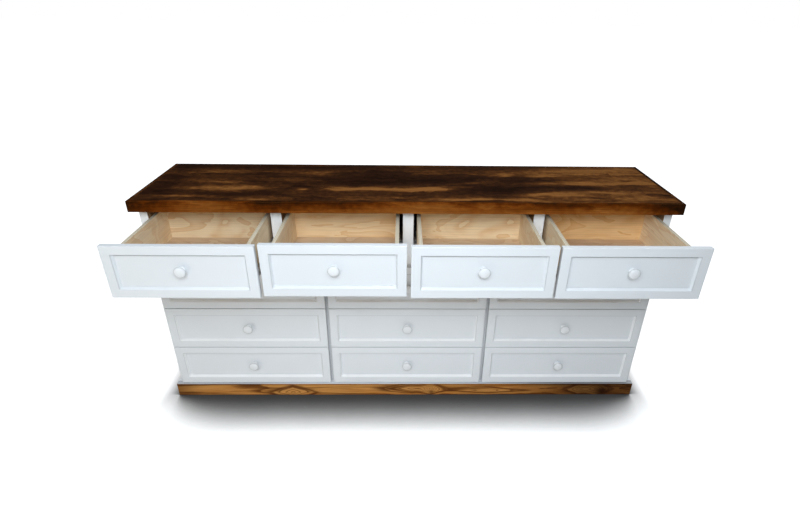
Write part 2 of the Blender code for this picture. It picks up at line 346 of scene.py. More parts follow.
@dataclass(frozen=True)
class FlamedStain:
    """Golden stain on flat-sawn pine: growth rings wrap round the board's flames and knots."""

    name: str
    darkest: Colour
    late: Colour
    early: Colour
    pale: Colour

    def material(self) -> bpy.types.Material:
        """Make the material."""
        graph = Graph(self.name)
        grain = graph.vector("grain")
        figure = graph.value("figure")
        across = graph.split(graph.vector("local"))[1]
        drift = graph.noise(grain, (1.1, 9.0, 9.0), detail=2.0, distortion=0.4)
        ripple = graph.noise(grain, (16.0, 60.0, 60.0), detail=2.0)
        cloud = graph.noise(grain, (4.0, 22.0, 22.0), detail=3.0)
        soak = graph.noise(grain, (2.6, 36.0, 36.0), detail=4.0, distortion=0.6)
        fine = graph.noise(grain, (8.0, 460.0, 460.0), detail=3.0)
        level = graph.total(graph.maths("MULTIPLY", figure, 3.0), (drift, 5.0), (ripple, 0.30))
        rings = graph.maths("FRACT", level)
        line = graph.maths("MULTIPLY", graph.span(rings, 0.55, 0.95), graph.span(rings, 0.95, 1.0, 1.0, 0.0))
        colour = graph.blend(graph.span(cloud, 0.35, 0.66), self.early, self.pale)
        colour = graph.blend(graph.span(soak, 0.50, 0.72, 0.0, 0.85), colour, self.late)
        flame = graph.total(figure, (ripple, 0.14))
        colour = graph.blend(graph.span(flame, 0.32, 0.62, 0.0, 0.9), colour, self.pale)
        colour = graph.blend(graph.maths("MULTIPLY", line, 0.85), colour, self.late)
        bound = graph.maths("MULTIPLY", graph.span(flame, 0.18, 0.30), graph.span(flame, 0.30, 0.44, 1.0, 0.0))
        colour = graph.blend(graph.maths("MULTIPLY", bound, 0.85), colour, self.late)
        edge = graph.span(graph.total(graph.maths("ABSOLUTE", across), (cloud, 0.016)), 0.030, 0.042, 0.0, 0.8)
        colour = graph.blend(edge, colour, self.late)
        colour = graph.blend(graph.value("stain"), colour, self.darkest)
        lines = graph.span(fine, 0.38, 0.64, 0.72, 1.14)
        shade = graph.node("ShaderNodeCombineXYZ", {0: lines, 1: lines, 2: lines}).outputs[0]
        colour = graph.blend(0.7, colour, shade, "MULTIPLY")
        colour = graph.blend(graph.maths("MULTIPLY", graph.value("rim"), 0.35), colour, self.late)
        sheen = graph.span(graph.total(fine, (cloud, 0.5)), 0.45, 1.0, 0.36, 0.50)
        graph.relief(graph.total(fine, (line, -0.5)), 0.14, 0.0006)
        return graph.dress(colour, sheen, Specular_IOR_Level=0.012)


@dataclass(frozen=True)
class Veneer:
    """Rotary-cut pine veneer: latewood darkens slowly across each ring and stops at a sharp line."""

    name: str
    early: Colour
    late: Colour
    warm: Colour
    amber: Colour = (1.0, 0.80, 0.55)
    rings: float = 4.4
    sweep: float = 2.5
    roughness: float = 0.56

    def material(self) -> bpy.types.Material:
        """Make the material."""
        graph = Graph(self.name)
        grain = graph.vector("grain")
        across = graph.split(graph.vector("local"))[1]
        flow = graph.noise(grain, (4.4, 8.0, 8.0), detail=1.8, distortion=1.3)
        ripple = graph.noise(grain, (26.0, 70.0, 70.0), detail=2.0)
        fibre = graph.noise(grain, (6.0, 330.0, 330.0), detail=3.0)
        tone = graph.noise(grain, (0.7, 1.6, 1.6), detail=1.0)
        level = graph.total(graph.maths("MULTIPLY", flow, self.rings), (ripple, 0.26), (across, self.sweep))
        ring = graph.maths("FRACT", level)
        late = graph.maths("MULTIPLY", graph.maths("POWER", ring, 1.7), graph.span(ring, 0.965, 1.0, 1.0, 0.0))
        colour = graph.blend(graph.span(tone, 0.35, 0.65), self.early, self.warm)
        colour = graph.blend(graph.maths("MULTIPLY", late, 0.70), colour, self.late)
        colour = graph.blend(graph.value("stain"), colour, self.amber, "MULTIPLY")
        lines = graph.span(fibre, 0.34, 0.66, 0.90, 1.06)
        shade = graph.node("ShaderNodeCombineXYZ", {0: lines, 1: lines, 2: lines}).outputs[0]
        colour = graph.blend(0.8, colour, shade, "MULTIPLY")
        sheen = graph.span(fibre, 0.3, 0.7, self.roughness - 0.07, self.roughness + 0.08)
        graph.relief(graph.total(fibre, (late, 0.3)), 0.10, 0.0005)
        return graph.dress(colour, sheen, Specular_IOR_Level=0.25)


@dataclass(frozen=True)
class PlyEdge:
    """The sawn edge of plywood: pale layers and darker end-grain layers with glue lines between."""

    name: str
    thick: float
    layers: int
    pale: Colour
    cross: Colour
    glue: Colour

    def material(self) -> bpy.types.Material:
        """Make the material."""
        graph = Graph(self.name)
        grain = graph.vector("grain")
        through = graph.split(graph.vector("local"))[2]
        wander = graph.noise(grain, (14.0, 14.0, 0.0), detail=2.0)
        depth = graph.total(self.layers / 2, (through, self.layers / self.thick), (wander, 0.22))
        step = graph.maths("FRACT", depth)
        other = graph.maths("MODULO", graph.maths("FLOOR", depth), 2.0)
        near = graph.maths("MINIMUM", step, graph.maths("SUBTRACT", 1.0, step))
        fleck = graph.noise(grain, (240.0, 240.0, 700.0), detail=2.0)
        colour = graph.blend(other, self.pale, self.cross)
        colour = graph.blend(graph.span(near, 0.0, 0.16, 0.7, 0.0), colour, self.glue)
        colour = graph.blend(graph.span(fleck, 0.5, 0.75, 0.0, 0.35), colour, self.cross)
        graph.relief(graph.total(fleck, (near, 0.8)), 0.2, 0.0005)
        return graph.dress(colour, graph.span(fleck, 0.3, 0.7, 0.6, 0.76), Specular_IOR_Level=0.2)


@dataclass(frozen=True)
class Steel:
    """Zinc-plated steel with the faint lines of rolled strip."""

    name: str
    bright: Colour
    dull: Colour
    roughness: float = 0.34

    def material(self) -> bpy.types.Material:
        """Make the material."""
        graph = Graph(self.name)
        place = graph.place()
        spangle = graph.noise(place, (90.0, 90.0, 90.0), detail=2.0)
        rolled = graph.noise(place, (900.0, 12.0, 900.0), detail=2.0)
        colour = graph.blend(graph.span(spangle, 0.35, 0.65), self.bright, self.dull)
        sheen = graph.span(rolled, 0.3, 0.7, self.roughness - 0.08, self.roughness + 0.1)
        graph.relief(rolled, 0.06, 0.0002)
        return graph.dress(colour, sheen, Metallic=1.0)


@dataclass(frozen=True)
class Finishes:
    """Every material of the chest, made once."""

    paint: bpy.types.Material
    edge_paint: bpy.types.Material
    knob_paint: bpy.types.Material
    top: bpy.types.Material
    edging: bpy.types.Material
    plinth: bpy.types.Material
    veneer: bpy.types.Material
    wall: bpy.types.Material
    tray: bpy.types.Material
    ply_edge: bpy.types.Material
    raw: bpy.types.Material
    backing: bpy.types.Material
    steel: bpy.types.Material
    nail: bpy.types.Material

    @classmethod
    def mix(cls) -> "Finishes":
        """Make every material."""
        return cls(
            paint=Paint("white_paint", (0.80, 0.83, 0.86), (0.78, 0.81, 0.84), (0.76, 0.78, 0.80)).material(),
            # The carcass's front edges take a whiter copy of the paint: painted light.
            edge_paint=Paint("white_edge_paint", (0.91, 0.93, 0.95), (0.89, 0.91, 0.93), (0.80, 0.82, 0.84)).material(),
            # The knob's dark thin colour paints shade on its cap's edge and neck.
            knob_paint=Paint(
                "white_enamel", (0.83, 0.85, 0.87), (0.81, 0.835, 0.86), (0.36, 0.365, 0.375), roughness=0.24, painted_shade=0.12
            ).material(),
            top=StreakedStain(
                "dark_stain",
                tones=(
                    (0.0170, 0.0066, 0.0032),
                    (0.0325, 0.0119, 0.0053),
                    (0.0635, 0.0230, 0.0078),
                    (0.128, 0.0460, 0.0130),
                    (0.290, 0.117, 0.0315),
                ),
            ).material(),
            edging=StreakedStain(
                "amber_stain",
                tones=(
                    (0.024, 0.0085, 0.003),
                    (0.090, 0.0205, 0.0024),
                    (0.190, 0.0515, 0.0066),
                    (0.265, 0.088, 0.0155),
                    (0.38, 0.147, 0.032),
                ),
                balance=0.52,
                contrast=0.75,
            ).material(),
            plinth=FlamedStain(
                "golden_stain",
                darkest=(0.034, 0.0105, 0.0036),
                late=(0.105, 0.033, 0.0078),
                early=(0.44, 0.168, 0.035),
                pale=(0.58, 0.272, 0.074),
            ).material(),
            veneer=Veneer("pine_veneer", (0.90, 0.735, 0.50), (0.72, 0.44, 0.20), (0.87, 0.635, 0.36)).material(),
            # The boxes' side walls take a paler copy of the veneer: painted light.
            wall=Veneer("pale_veneer", (0.96, 0.825, 0.61), (0.82, 0.595, 0.355), (0.94, 0.775, 0.54)).material(),
            tray=Veneer(
                "pine_veneer_tray", (0.78, 0.605, 0.42), (0.61, 0.395, 0.23), (0.74, 0.545, 0.365), rings=4.0
            ).material(),
            ply_edge=PlyEdge(
                "ply_edge", 0.012, 5, (0.76, 0.70, 0.57), (0.62, 0.53, 0.38), (0.36, 0.25, 0.15)
            ).material(),
            raw=Veneer("bare_pine", (0.50, 0.33, 0.18), (0.34, 0.19, 0.085), (0.45, 0.28, 0.145)).material(),
            backing=Veneer("backing_ply", (0.58, 0.43, 0.27), (0.42, 0.26, 0.13), (0.54, 0.38, 0.22)).material(),
            steel=Steel("zinc_steel", (0.66, 0.67, 0.68), (0.52, 0.53, 0.55)).material(),
            nail=Steel("nail_steel", (0.42, 0.41, 0.40), (0.30, 0.29, 0.28), roughness=0.45).material(),
        )


@dataclass(frozen=True)
class Flame:
    """A patch of figure in a stained board, placed from the middle of the board.

    A positive strength is a golden patch and a negative one is dark. A low point draws its ends out.
    """

    along: float
    across: float
    reach: float
    spread: float
    strength: float
    point: float = 2.0

    def at(self, along: float, across: float) -> float:
        """Return the patch's strength at a place on the board."""
        far = abs((along - self.along) / self.reach) ** self.point
        wide = abs((across - self.across) / self.spread) ** self.point
        return self.strength * math.exp(-far - wide)


@dataclass(frozen=True)
class Streak(Flame):
    """A golden streak in the top: soft towards the back, crisp and ragged towards the front."""

    def at(self, along: float, across: float) -> float:
        """Return the streak's strength at a place on the board, bent by slow and quick waves."""
        slow = noise.noise_vector(Vector((along * 6.0, across * 24.0, self.along * 9.0)))
        quick = noise.noise_vector(Vector((along * 34.0, across * 60.0, self.along * 7.0)))
        far = (along + 0.05 * slow.x + 0.012 * quick.x - self.along) / self.reach
        wide = (across + 0.016 * slow.y + 0.006 * quick.y - self.across) / self.spread
        wide *= 1.7 if wide < 0 else 0.7
        return self.strength * math.exp(-abs(far) ** self.point - wide * wide)


@dataclass(frozen=True)
class Marks:
    """What the finishes read from one point of a mesh."""

    local: Vector
    grain: Vector
    rim: float = 0.0
    figure: float = 0.0
    stain: float = 0.0


def drift_of(word: str) -> Vector:
    """Return an offset that gives a board a stretch of grain of its own."""
    code = zlib.crc32(word.encode())
    return Vector((code % 977, code // 977 % 983, code // 960391 % 991)) * 0.0437


def one_finish(_normal: Vector) -> int:
    """Put every face in the first material slot."""
    return 0


@dataclass
class Piece:
    """One visible piece while it is made: closed shapes gathered into a single mesh."""

    name: str
    points: list[Vector] = field(default_factory=list)
    faces: list[list[int]] = field(default_factory=list)
    slots: list[int] = field(default_factory=list)
    smooth: list[bool] = field(default_factory=list)
    marks: list[Marks] = field(default_factory=list)

    def add(
        self,
        shape: bmesh.types.BMesh,
        mark: Callable[[Vector], Marks],
        slot_of: SlotRule = one_finish,
        rounded: bool = False,
    ) -> None:
        """Take over a closed shape.

        Args:
            shape: The shape, which is freed.
            mark: Gives the marks of a point.
            slot_of: Gives the material slot of a face from its normal.
            rounded: Whether every face is shaded smooth, or only those that are square to no axis.
        """
        bmesh.ops.recalc_face_normals(shape, faces=shape.faces)
        shape.verts.index_update()
        start = len(self.points)
        for vert in shape.verts:
            self.points.append(vert.co.copy())
            self.marks.append(mark(vert.co))
        for face in shape.faces:
            self.faces.append([start + vert.index for vert in face.verts])
            self.slots.append(slot_of(face.normal))
            self.smooth.append(rounded or max(map(abs, face.normal)) < 0.999)
        shape.free()

    def stand(
        self, body: str, finishes: Sequence[bpy.types.Material], nodes: Sequence[str], slot: Slot | None = None
    ) -> bpy.types.Object:
        """Make the piece's object and give it its place in the frame.

        Args:
            body: The body that it moves with.
            finishes: Its materials, in the order of its material slots.
            nodes: The solids that it stands for.
            slot: The record's finish, handed on to settle.

        Returns:
            The piece's object.
        """
        mesh = bpy.data.meshes.new(self.name)
        mesh.from_pydata(self.points, [], self.faces)
        mesh.polygons.foreach_set("material_index", self.slots)
        mesh.polygons.foreach_set("use_smooth", self.smooth)
        for key in ("local", "grain"):
            mark = mesh.attributes.new(key, "FLOAT_VECTOR", "POINT")
            mark.data.foreach_set("vector", [part for marks in self.marks for part in getattr(marks, key)])
        for key in ("rim", "figure", "stain"):
            mark = mesh.attributes.new(key, "FLOAT", "POINT")
            mark.data.foreach_set("value", [getattr(marks, key) for marks in self.marks])
        for finish in finishes:
            mesh.materials.append(finish)
        mesh.update()
        return settle(bpy.data.objects.new(self.name, mesh), body, nodes, slot)


def settle(
    piece: bpy.types.Object, body: str, nodes: Sequence[str], slot: Slot | None = None
) -> bpy.types.Object:
    """Put a finished object in the scene and tie it to the frame.

    Args:
        piece: The object.
        body: The body that it moves with.
        nodes: The solids that it stands for.
        slot: Not used.

    Returns:
        The same object.
    """
    if piece.name not in bpy.context.scene.collection.objects:
        bpy.context.scene.collection.objects.link(piece)
    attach(piece, body)
    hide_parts(*nodes)
    LOG.info("%s on %s: %d faces", piece.name, body, len(piece.data.polygons))
    return piece


@dataclass(frozen=True)
class Board:
    """A sawn board with eased edges.

    Its marks run along the grain, across it and through the thickness, from the middle of the board.
    """

    low: Vector
    high: Vector
    run: Axis
    thin: Axis
    word: str
    ease: float = 0.0009
    cell: tuple[float, float] = (0.0, 0.0)
    flames: tuple[Flame, ...] = ()
    stains: tuple[Flame, ...] = ()

    @property
    def middle(self) -> Vector:
        """Return the middle of the board."""
        return (self.low + self.high) / 2

    @property
    def wide(self) -> Axis:
        """Return the direction across the grain."""
        return next(axis for axis in Axis if axis not in (self.run, self.thin))

    def mark(self, point: Vector) -> Marks:
        """Return the marks of a point of the board."""
        from_middle = point - self.middle
        half = (self.high - self.low) / 2
        inside = all(half[axis.value] - abs(from_middle[axis.value]) > 1e-6 for axis in Axis)
        along, across = from_middle[self.run.value], from_middle[self.wide.value]
        local = Vector((along, across, from_middle[self.thin.value]))
        return Marks(
            local=local,
            grain=local + drift_of(self.word),
            rim=1.0 if inside else 0.0,
            figure=sum(flame.at(along, across) for flame in self.flames),
            stain=min(1.0, sum(flame.at(along, across) for flame in self.stains)),
        )

    def cut(self, piece: Piece, slot_of: SlotRule = one_finish) -> None:
        """Add the board to a piece.

        Args:
            piece: The piece that it becomes part of.
            slot_of: Gives the material slot of a face from its normal.
        """
        shape = bmesh.new()
        bmesh.ops.create_cube(shape, size=1.0)
        bmesh.ops.scale(shape, vec=self.high - self.low, verts=shape.verts)
        bmesh.ops.translate(shape, vec=self.middle, verts=shape.verts)
        bmesh.ops.bevel(
            shape, geom=shape.edges[:], offset=self.ease, segments=2, profile=0.5, affect="EDGES", clamp_overlap=True
        )
        for axis, spacing in zip((self.run, self.wide), self.cell):
            self.slice(shape, axis, spacing)
        piece.add(shape, self.mark, slot_of)

    def slice(self, shape: bmesh.types.BMesh, axis: Axis, spacing: float) -> None:
        """Cut the faces into cells, so that the marks can vary along the board.

        Args:
            shape: The board's shape.
            axis: The direction in which the cuts follow each other.
            spacing: The distance between them, or 0 for no cuts.
        """
        if not spacing:
            return
        normal = Vector([1.0 if each is axis else 0.0 for each in Axis])
        length = self.high[axis.value] - self.low[axis.value] - 4 * self.ease
        count = max(1, round(length / spacing))
        for number in range(1, count):
            place = self.middle.copy()
            place[axis.value] += length * (number / count - 0.5)
            geom = shape.verts[:] + shape.edges[:] + shape.faces[:]
            bmesh.ops.bisect_plane(shape, geom=geom, plane_co=place, plane_no=normal)


def turned(outline: Section, sides: int, foot: Vector) -> bmesh.types.BMesh:
    """Turn an outline about a line that points towards -Y.

    Args:
        outline: Radius and distance from the foot, from the crown on the axis to the foot on the axis.
        sides: How many sides the turned shape has.
        foot: The place of the foot's middle.

    Returns:
        The closed shape.
    """
    shape = bmesh.new()
    rings = []
    for radius, reach in outline[1:-1]:
        angles = [math.tau * side / sides for side in range(sides)]
        spots = [Vector((radius * math.cos(a), -reach, radius * math.sin(a))) for a in angles]
        rings.append([shape.verts.new(foot + spot) for spot in spots])
    for first, second in zip(rings, rings[1:]):
        for side in range(sides):
            after = (side + 1) % sides
            shape.faces.new((first[side], first[after], second[after], second[side]))
    for ring, (_, reach) in ((rings[0], outline[0]), (rings[-1], outline[-1])):
        pole = shape.verts.new(foot + Vector((0, -reach, 0)))
        for side in range(sides):
            shape.faces.new((ring[side], ring[(side + 1) % sides], pole))
    return shape


def drawn(section: Section, start: float, end: float) -> bmesh.types.BMesh:
    """Draw a closed section in X and Z along Y.

    Args:
        section: The section's corners in order.
        start: Where the shape starts in Y.
        end: Where it ends.

    Returns:
        The closed shape.
    """
    shape = bmesh.new()
    near = [shape.verts.new((x, start, z)) for x, z in section]
    far = [shape.verts.new((x, end, z)) for x, z in section]
    count = len(section)
    for corner in range(count):
        after = (corner + 1) % count
        shape.faces.new((near[corner], near[after], far[after], far[corner]))
    shape.faces.new(near)
    shape.faces.new(far)
    return shape


def plain_marks(point: Vector) -> Marks:
    """Return marks for a piece whose finish needs only its place."""
    return Marks(local=point.copy(), grain=point.copy())


@dataclass(frozen=True)
class FramedFront:
    """A drawer front: a flat frame, a sloped inner edge and a sunk panel, with eased outer edges."""

    low: Vector
    high: Vector
    word: str
    frame_width: float = 0.030
    slope_run: float = 0.005
    recess: float = 0.009
    ease: float = 0.0016
    arris: float = 0.0006
    seam: float = 0.0012
    seam_depth: float = 0.0010
    corner: float = 0.004
    line: float = 0.0022
    line_fade: float = 0.35
    # Marks by side, in the order bottom, right, top and left. The first is none. The next three paint shade on the
    # outer edges, along the frame's inner edge and in the seam round the panel. The last keeps the painted shade of
    # hollows off the sunk slopes and, above 1, paints light on them.
    clear: Sides = (0.0, 0.0, 0.0, 0.0)
    outer_painted_shade: Sides = (0.0, 0.10, 0.16, 0.10)
    line_painted_shade: Sides = (0.0, 0.42, 0.36, 0.42)
    seam_painted_shade: Sides = (0.0, 0.0, 0.75, 0.0)
    slope_painted_light: Sides = (1.0, 1.0, 0.0, 1.0)

    def steps(self) -> list[tuple[float, float, float, Sides]]:
        """Return the outline from the back to the panel, as inset, depth behind the face, rim and painted shade by
        side.
        """
        thick = self.high.y - self.low.y
        round_ = [
            (self.ease * (1 - math.sin(angle)), self.ease * (1 - math.cos(angle)))
            for angle in (math.pi / 2, math.pi / 3, math.pi / 6, 0.0)
        ]
        inner = self.frame_width + self.slope_run
        fall = self.recess / self.slope_run
        steps = [(self.arris, thick, 0.0, self.outer_painted_shade), (0.0, thick - self.arris, 0.0, self.outer_painted_shade)]
        for inset, depth in round_:
            rim = 1.0 if 0 < inset < self.ease else 0.0
            steps.append((inset, depth, rim, self.clear if inset else self.outer_painted_shade))
        steps += [
            (self.frame_width - self.line, 0.0, 0.0, self.clear),
            (self.frame_width - self.arris / 2, 0.0, 0.0, self.line_painted_shade),
            (self.frame_width, self.arris * 0.25, 1.0, self.line_painted_shade),
            (self.frame_width + self.arris / 2, fall * self.arris / 2, 0.0, self.line_painted_shade),
            (self.frame_width + self.line_fade * self.slope_run, self.line_fade * self.recess, 0.0, self.clear),
            (inner - self.arris / 2, self.recess - fall * self.arris / 2, 0.0, self.clear),
            (inner, self.recess + self.seam_depth, 0.0, self.seam_painted_shade),
            (inner + self.seam, self.recess + self.seam_depth, 0.0, self.seam_painted_shade),
            (inner + self.seam + self.arris / 2, self.recess, 0.0, self.clear),
        ]
        return steps

    def outline(self, inset: float, *marks: Sides) -> list[tuple[float, ...]]:
        """Return a rectangle inside the edges, as X, Z and each mark's strength on that side.

        Args:
            inset: How far it lies inside the edges.
            marks: The marks by side.

        Returns:
            Each corner, and after it the two ends of the next side's plain length.
        """
        left, right = self.low.x + inset, self.high.x - inset
        foot, head = self.low.z + inset, self.high.z - inset
        corners = [Vector((left, foot)), Vector((right, foot)), Vector((right, head)), Vector((left, head))]
        points = []
        for side, corner in enumerate(corners):
            after = corners[(side + 1) % 4]
            run = (after - corner).normalized() * self.corner
            points.append((corner.x, corner.y, *((mark[side] + mark[side - 1]) / 2 for mark in marks)))
            points += [(spot.x, spot.y, *(mark[side] for mark in marks)) for spot in (corner + run, after - run)]
        return points

    def cut(self, piece: Piece) -> None:
        """Add the front to a piece."""
        shape = bmesh.new()
        loops = []
        film_and_light_marks: dict[Vector, tuple[float, float, float]] = {}
        for inset, depth, rim, sides in self.steps():
            loop = []
            for x, z, painted_shade, slope_painted_light in self.outline(inset, sides, self.slope_painted_light if depth and inset > self.ease else self.clear):
                vert = shape.verts.new((x, self.low.y + depth, z))
                film_and_light_marks[vert.co.copy().freeze()] = (rim, painted_shade, slope_painted_light)
                loop.append(vert)
            loops.append(loop)
        for first, second in zip(loops, loops[1:]):
            for side in range(len(first)):
                after = (side + 1) % len(first)
                shape.faces.new((first[side], first[after], second[after], second[side]))
        shape.faces.new(loops[0])
        shape.faces.new(loops[-1])
        middle = (self.low + self.high) / 2

        def mark(point: Vector) -> Marks:
            """Return the marks of a point of the front."""
            local = point - middle
            rim, painted_shade, slope_painted_light = film_and_light_marks[point.copy().freeze()]
            # The stain mark carries the painted shade and the figure mark the painted light on the slopes.
            return Marks(local=local, grain=local + drift_of(self.word), rim=rim, stain=painted_shade, figure=slope_painted_light)

        piece.add(shape, mark)


class Layout(Enum):
    """How a tree finds the places of its fittings."""

    AT_POINTS = "fittings_at_points"
    ALONG_PATHS = "fittings_along_paths"


@dataclass(frozen=True)
class Spot:
    """A place for one fitting and the way that it looks."""

    place: Vector
    facing: Vector


class FittingTree:
    """A Geometry Nodes tree that sets a small fitting at every place, each with a turn of its own."""

    def __init__(self, layout: Layout) -> None:
        """Build the tree with named inputs for its sizes."""
        self.layout = layout
        self.tree = bpy.data.node_groups.new(layout.value, "GeometryNodeTree")
        self.keys: dict[str, str] = {}
        for name, kind in (
            ("Places", "NodeSocketGeometry"),
            ("Fitting", "NodeSocketObject"),
            ("Size", "NodeSocketFloat"),
            ("Spacing", "NodeSocketFloat"),
            ("Turn Seed", "NodeSocketInt"),
            ("Finish", "NodeSocketMaterial"),
        ):
            made = self.tree.interface.new_socket(name=name, in_out="INPUT", socket_type=kind)
            self.keys[name] = made.identifier
        self.tree.interface.new_socket(name="Fittings", in_out="OUTPUT", socket_type="NodeSocketGeometry")
        self.wire()

    def node(self, kind: str, **settings: object) -> bpy.types.Node:
        """Add a node with its own properties."""
        made = self.tree.nodes.new(kind)
        for key, value in settings.items():
            setattr(made, key, value)
        return made

    def wire(self) -> None:
        """Link the nodes from the places to the finished fittings."""
        link = self.tree.links.new
        source = self.node("NodeGroupInput").outputs
        places = source["Places"]
        if self.layout is Layout.ALONG_PATHS:
            path = self.node("GeometryNodeMeshToCurve")
            spaced = self.node("GeometryNodeResampleCurve", mode="LENGTH")
            link(places, path.inputs["Mesh"])
            link(path.outputs["Curve"], spaced.inputs["Curve"])
            link(source["Spacing"], spaced.inputs["Length"])
            places = spaced.outputs["Curve"]
        fitting = self.node("GeometryNodeObjectInfo", transform_space="ORIGINAL")
        link(source["Fitting"], fitting.inputs["Object"])
        facing = self.node("GeometryNodeInputNamedAttribute", data_type="FLOAT_VECTOR")
        facing.inputs["Name"].default_value = "facing"
        aligned = self.node("FunctionNodeAlignRotationToVector", axis="Z")
        link(facing.outputs[0], aligned.inputs["Vector"])
        turn = self.node("FunctionNodeRandomValue", data_type="FLOAT")
        turn.inputs[2].default_value = 0.0
        turn.inputs[3].default_value = math.tau
        link(source["Turn Seed"], turn.inputs["Seed"])
        spin = self.node("ShaderNodeCombineXYZ")
        link(turn.outputs[1], spin.inputs["Z"])
        euler = self.node("FunctionNodeEulerToRotation")
        link(spin.outputs[0], euler.inputs[0])
        setting = self.node("GeometryNodeInstanceOnPoints")
        link(places, setting.inputs["Points"])
        link(fitting.outputs["Geometry"], setting.inputs["Instance"])
        link(aligned.outputs[0], setting.inputs["Rotation"])
        link(source["Size"], setting.inputs["Scale"])
        turned_ = self.node("GeometryNodeRotateInstances")
        link(setting.outputs[0], turned_.inputs["Instances"])
        link(euler.outputs[0], turned_.inputs["Rotation"])
        real = self.node("GeometryNodeRealizeInstances")
        link(turned_.outputs[0], real.inputs[0])
        dressed = self.node("GeometryNodeSetMaterial")
        link(real.outputs[0], dressed.inputs["Geometry"])
        link(source["Finish"], dressed.inputs["Material"])
        link(dressed.outputs[0], self.node("NodeGroupOutput").inputs[0])

    def make(
        self,
        name: str,
        spots: Sequence[Spot],
        paths: Sequence[tuple[int, int]],
        values: dict[str, object],
    ) -> bpy.types.Object:
        """Run the tree and return its result as a plain object.

        Args:
            name: The new piece's name.
            spots: The places, or the ends of the paths.
            paths: Pairs of spots that a path joins, where the tree follows paths.
            values: A value for each of the tree's inputs, by the input's name.

        Returns:
            An object with a mesh of its own and no modifier.
        """
        mesh = bpy.data.meshes.new(name + "_places")
        mesh.from_pydata([spot.place for spot in spots], list(paths), [])
        facing = mesh.attributes.new("facing", "FLOAT_VECTOR", "POINT")
        facing.data.foreach_set("vector", [part for spot in spots for part in spot.facing])
        carrier = bpy.data.objects.new(name + "_places", mesh)
        bpy.context.scene.collection.objects.link(carrier)
        modifier = carrier.modifiers.new("fittings", "NODES")
        modifier.node_group = self.tree
        for key, value in values.items():
            modifier[self.keys[key]] = value
        graph = bpy.context.evaluated_depsgraph_get()
        result = bpy.data.meshes.new_from_object(carrier.evaluated_get(graph), depsgraph=graph)
        carrier.modifiers.remove(modifier)
        bpy.data.objects.remove(carrier)
        result.name = name
        return bpy.data.objects.new(name, result)


class Fittings:
    """The small parts that repeat: screw heads, nail heads and balls, each a unit across its radius."""

    CROSS_ANGLES = (-16.0, 16.0, 45.0)

    def __init__(self, finishes: Finishes) -> None:
        """Make the patterns and the trees."""
        self.finishes = finishes
        self.trees = {layout: FittingTree(layout) for layout in Layout}
        self.screw = self.pattern("screw_pattern", self.screw_shape())
        self.nail = self.pattern("nail_pattern", self.nail_shape())
        self.ball = self.pattern("ball_pattern", self.ball_shape())

    def pattern(self, name: str, shape: bmesh.types.BMesh) -> bpy.types.Object:
        """Make the object that a tree copies; it is taken away again at the end."""
        bmesh.ops.recalc_face_normals(shape, faces=shape.faces)
        mesh = bpy.data.meshes.new(name)
        shape.to_mesh(mesh)
        shape.free()
        made = bpy.data.objects.new(name, mesh)
        bpy.context.scene.collection.objects.link(made)
        return made

    def screw_shape(self) -> bmesh.types.BMesh:
        """Return a pan head with a cross recess, which looks along +Z."""
        shape = bmesh.new()
        angles = [math.radians(angle + 90 * turn) for turn in range(4) for angle in self.CROSS_ANGLES]
        rings = [
            [shape.verts.new((radius * math.cos(a), radius * math.sin(a), z)) for a in angles]
            for radius, z in ((1.0, 0.0), (1.0, 0.14), (0.82, 0.38), (0.56, 0.48))
        ]
        arm, half = 0.44, 0.12
        cross = [(arm, -half), (arm, half), (half, half)]
        for z in (0.48, 0.18):
            ring = []
            for turn in range(4):
                cosine, sine = math.cos(math.pi / 2 * turn), math.sin(math.pi / 2 * turn)
                ring += [shape.verts.new((x * cosine - y * sine, x * sine + y * cosine, z)) for x, y in cross]
            rings.append(ring)
        for first, second in zip(rings, rings[1:]):
            for side in range(12):
                after = (side + 1) % 12
                shape.faces.new((first[side], first[after], second[after], second[side]))
        shape.faces.new(rings[0])
        shape.faces.new(rings[-1])
        return shape

    def nail_shape(self) -> bmesh.types.BMesh:
        """Return a small domed nail head, which looks along +Z."""
        shape = bmesh.new()
        angles = [math.tau * side / 8 for side in range(8)]
        rings = [
            [shape.verts.new((radius * math.cos(a), radius * math.sin(a), z)) for a in angles]
            for radius, z in ((1.0, -0.2), (1.0, 0.10), (0.72, 0.22))
        ]
        for first, second in zip(rings, rings[1:]):
            for side in range(8):
                after = (side + 1) % 8
                shape.faces.new((first[side], first[after], second[after], second[side]))
        shape.faces.new(rings[0])
        shape.faces.new(rings[-1])
        return shape

    def ball_shape(self) -> bmesh.types.BMesh:
        """Return a ball of few faces, shaded smooth."""
        shape = bmesh.new()
        bmesh.ops.create_uvsphere(shape, u_segments=8, v_segments=6, radius=1.0)
        for face in shape.faces:
            face.smooth = True
        return shape

    def set_at(
        self, name: str, pattern: bpy.types.Object, size: float, finish: bpy.types.Material, spots: Sequence[Spot]
    ) -> bpy.types.Object:
        """Set a fitting at each spot.

        Args:
            name: The new piece's name.
            pattern: The fitting.
            size: Its radius.
            finish: Its material.
            spots: Where it goes.

        Returns:
            The piece, not yet tied to the frame.
        """
        seed = zlib.crc32(name.encode()) % 10000
        values = {"Fitting": pattern, "Size": size, "Turn Seed": seed, "Finish": finish}
        return self.trees[Layout.AT_POINTS].make(name, spots, (), values)

    def set_along(
        self, name: str, pattern: bpy.types.Object, size: float, spacing: float, corners: Sequence[Spot]
    ) -> bpy.types.Object:
        """Set a nail at regular distances along a closed path.

        Args:
            name: The new piece's name.
            pattern: The fitting.
            size: Its radius.
            spacing: The distance from one to the next.
            corners: The path's corners.

        Returns:
            The piece, not yet tied to the frame.
        """
        count = len(corners)
        paths = [(corner, (corner + 1) % count) for corner in range(count)]
        values = {
            "Fitting": pattern,
            "Size": size,
            "Spacing": spacing,
            "Turn Seed": count,
            "Finish": self.finishes.nail,
        }
        return self.trees[Layout.ALONG_PATHS].make(name, corners, paths, values)

    def clear(self) -> None:
        """Take the patterns away."""
        for made in (self.screw, self.nail, self.ball):
            bpy.data.objects.remove(made)


